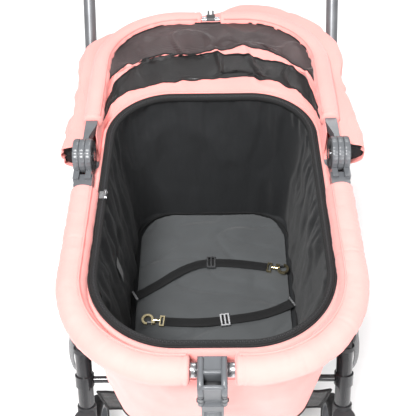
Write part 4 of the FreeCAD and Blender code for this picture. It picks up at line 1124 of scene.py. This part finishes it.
def tyres():
    """Treaded tyres and hub caps, each in the space of its CAD tyre."""
    for end, blocks in (("front", 34), ("rear", 44)):
        for side, sign in SIDES:
            node = "%s_tyre_%s" % (end, side)
            low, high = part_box(node)
            centre, half = (low + high) / 2 - HINGE, (high.x - low.x) / 2
            radius = (high.z - low.z) / 2
            inner = radius - (0.020 if end == "front" else 0.024)
            profile = [(-half + 0.002, inner - 0.0005), (-half, inner + 0.004)]
            shoulder = radius - half * 0.7
            for k in range(13):
                angle = math.pi * k / 12
                profile.append((-half * math.cos(angle),
                                shoulder + (radius - shoulder) * math.sin(angle) ** 0.7))
            profile += [(half, inner + 0.004), (half - 0.002, inner - 0.0005)]
            steps = blocks * 6

            def depth(index, turn):
                across = index - 8
                if abs(across) in (2, 6):
                    return -0.0016
                return -0.0022 if abs(across) < 6 and (turn + across) % 6 == 0 else 0.0

            tyre = lathe("tread_" + node, centre, profile, "tyre", steps, depth)
            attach(tyre, "%s_wheel_%s" % (end, side))
            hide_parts(node)
            face = half + 0.0004
            cap = [(sign * (face - 0.004), 0.0155), (sign * face, 0.0150), (sign * (face + 0.0015), 0.0120),
                   (sign * (face + 0.0015), 0.0100)]
            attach(lathe("hub_cap_" + node, centre, cap, "black_plastic", 40), "%s_wheel_%s" % (end, side))


def basket():
    """Sagging mesh bag on the wire, with bound edges."""
    top = (0.210, -0.120, 0.188, 0.030, 0.034)
    foot = (0.186, -0.106, 0.164, 0.024, 0.024)
    high, low = -0.3705, -0.497
    count, levels = 220, 22
    rows = []
    for i in range(levels + 1):
        depth = i / levels
        row = []
        for j, (point, out) in enumerate(walk(loop_line(between(top, foot, depth)), count, True)):
            front = max(0.0, 1 - abs(((j / count + 0.5) % 1.0) - 0.5) / 0.125)
            dip = min(1.0, front * 4)
            z = high + (low - high) * depth
            z -= (0.100 * (1 - depth) - 0.004) * dip if dip else 0.0
            sag = 0.006 * math.sin(math.pi * depth) * (1 - dip)
            folds = 0.004 * wobble(point.x * 9, point.y * 9, depth * 2, 1.8) * math.sin(math.pi * depth)
            row.append(point - out * (sag - folds) + UP * z)
        rows.append(row)
    for share in (0.985, 0.93, 0.80, 0.5, 0.2):
        sagging = low - 0.006 * (1 - share)
        rows.append([Vector((p.x * share, 0.029 + (p.y - 0.029) * share,
                             sagging + 0.002 * wobble(p.x * 4, p.y * 4, share, 2.0))) for p in rows[levels]])
    bag = grid("basket_bag", rows, "mesh_fabric", around=True)
    thicken(bag, 0.0010)
    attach(bag, "chassis")
    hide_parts("storage_basket")
    hem, base = [p + UP * 0.001 for p in rows[0]], rows[levels]
    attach(tube_along("basket_binding", hem + hem[:1], 0.0034, "webbing"), "chassis")
    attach(tube_along("basket_floor_seam", base + base[:1], 0.0018, "webbing"), "chassis")
    basket_panel()


def basket_panel():
    """Front panel between the legs, and the apron that joins it to the bag's floor."""
    half, y, high, low = 0.222, -0.253, -0.380, -0.449
    rear_half, rear_y, rear_z = 0.182, -0.104, -0.4985

    def panel_point(down, t):
        across = t * 2 - 1
        sag = 0.006 * (1 - across ** 2) * (1 - down)
        puff = 0.004 * math.sin(math.pi * down) * (1 - across ** 2)
        fold = 0.0022 * wobble(across * 3, down * 2, 6.0, 1.8)
        return Vector((half * across * (1 - 0.06 * down), y - puff + fold, high + (low - high) * down - sag))

    def apron_point(s, t):
        across = t * 2 - 1
        width = rear_half + (half * 0.94 - rear_half) * s
        dip = 0.008 * math.sin(math.pi * s) * (1 - across ** 2)
        fold = 0.0022 * wobble(across * 3, s * 3, 9.0, 1.6)
        rise = 0.010 * abs(across) ** 6 * (1 - s)
        height = rear_z + (low - rear_z) * s - dip + fold + rise
        return Vector((width * across, rear_y + (y - rear_y) * s, height))

    rows = sheet_rows(14, 60, panel_point)
    panel = grid("basket_front_panel", rows, "mesh_fabric")
    edge = rows[0] + [r[-1] for r in rows] + rows[-1][::-1] + [r[0] for r in rows][::-1]
    thicken(panel, 0.0010)
    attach(panel, "front_legs")
    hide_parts("basket_front")
    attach(tube_along("basket_panel_binding", edge, 0.0028, "webbing"), "front_legs")
    cloth = thicken(grid("basket_apron", sheet_rows(20, 60, apron_point), "mesh_fabric"), 0.0010)
    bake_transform(cloth)


def side_loops():
    """Webbing loops that hang outside the front hubs."""
    for side, sign in SIDES:
        route = [(0.2775, -0.146, -0.337), (0.2790, -0.152, -0.352), (0.2830, -0.160, -0.378),
                 (0.2845, -0.168, -0.408), (0.2810, -0.174, -0.434), (0.2770, -0.173, -0.444),
                 (0.2752, -0.168, -0.430), (0.2762, -0.158, -0.400), (0.2758, -0.149, -0.370),
                 (0.2756, -0.145, -0.345)]
        points = smooth_line([Vector((sign * x, y, z)) for x, y, z in route], 6)
        sides = [Vector((sign * 0.62, 0.72, -0.28)).normalized()] * len(points)
        loop = rod("hub_loop_" + side, ribbon_rows(points, sides, 0.020, 0.0018), "grey_webbing")
        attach(loop, "front_legs")
        if sign < 0:
            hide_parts("side_loops")


def smooth_line(points, steps):
    """A smooth curve through points."""
    line = []
    for n in range(len(points) - 1):
        a, b = points[max(n - 1, 0)], points[n]
        c, d = points[n + 1], points[min(n + 2, len(points) - 1)]
        for k in range(steps):
            t = k / steps
            line.append(0.5 * (2 * b + (c - a) * t + (2 * a - 5 * b + 4 * c - d) * t * t
                               + (3 * b - a - 3 * c + d) * t ** 3))
    return line + [points[-1]]


def grip_rings():
    """End rings and moulded grooves on the foam grip."""
    low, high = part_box("handle_grip")
    centre, reach = (low + high) / 2 - HINGE, (high.x - low.x) / 2
    radius = (high.z - low.z) / 2
    rings = []
    for n in range(-7, 8):
        x = reach * 0.94 * n / 7
        grow = 0.0016 if abs(n) == 7 else 0.0006
        profile = [(-0.006, radius - 0.001), (-0.0045, radius + grow), (0.0045, radius + grow),
                   (0.006, radius - 0.001)]
        rings.append(lathe("ring", (x, centre.y, centre.z), profile, "foam", 48))
    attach(joined("grip_rings", rings), "handle")


# Finishes of the CAD nodes that stay in sight

def dress_frame():
    finishes = {row["node"]: row["material_slot"] for row in frame["record"]["subparts"]}
    for node, thing in NODES.items():
        thing.data.materials.clear()
        thing.data.materials.append(MATERIALS[finishes[node]])
        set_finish(thing, finishes[node])


camera()
for strap_side in STRAP_ROUTES:
    tether(strap_side)
studio()
dress_frame()
padded_rim()
bow_padding()
bed_shell()
shell_trim()
liner()
zip_line()
facing()
floor_cushion()
hood_cover()
hood_lining()
hinge_dress()
latch_trim()
screws()
tyres()
basket()
side_loops()
grip_rings()
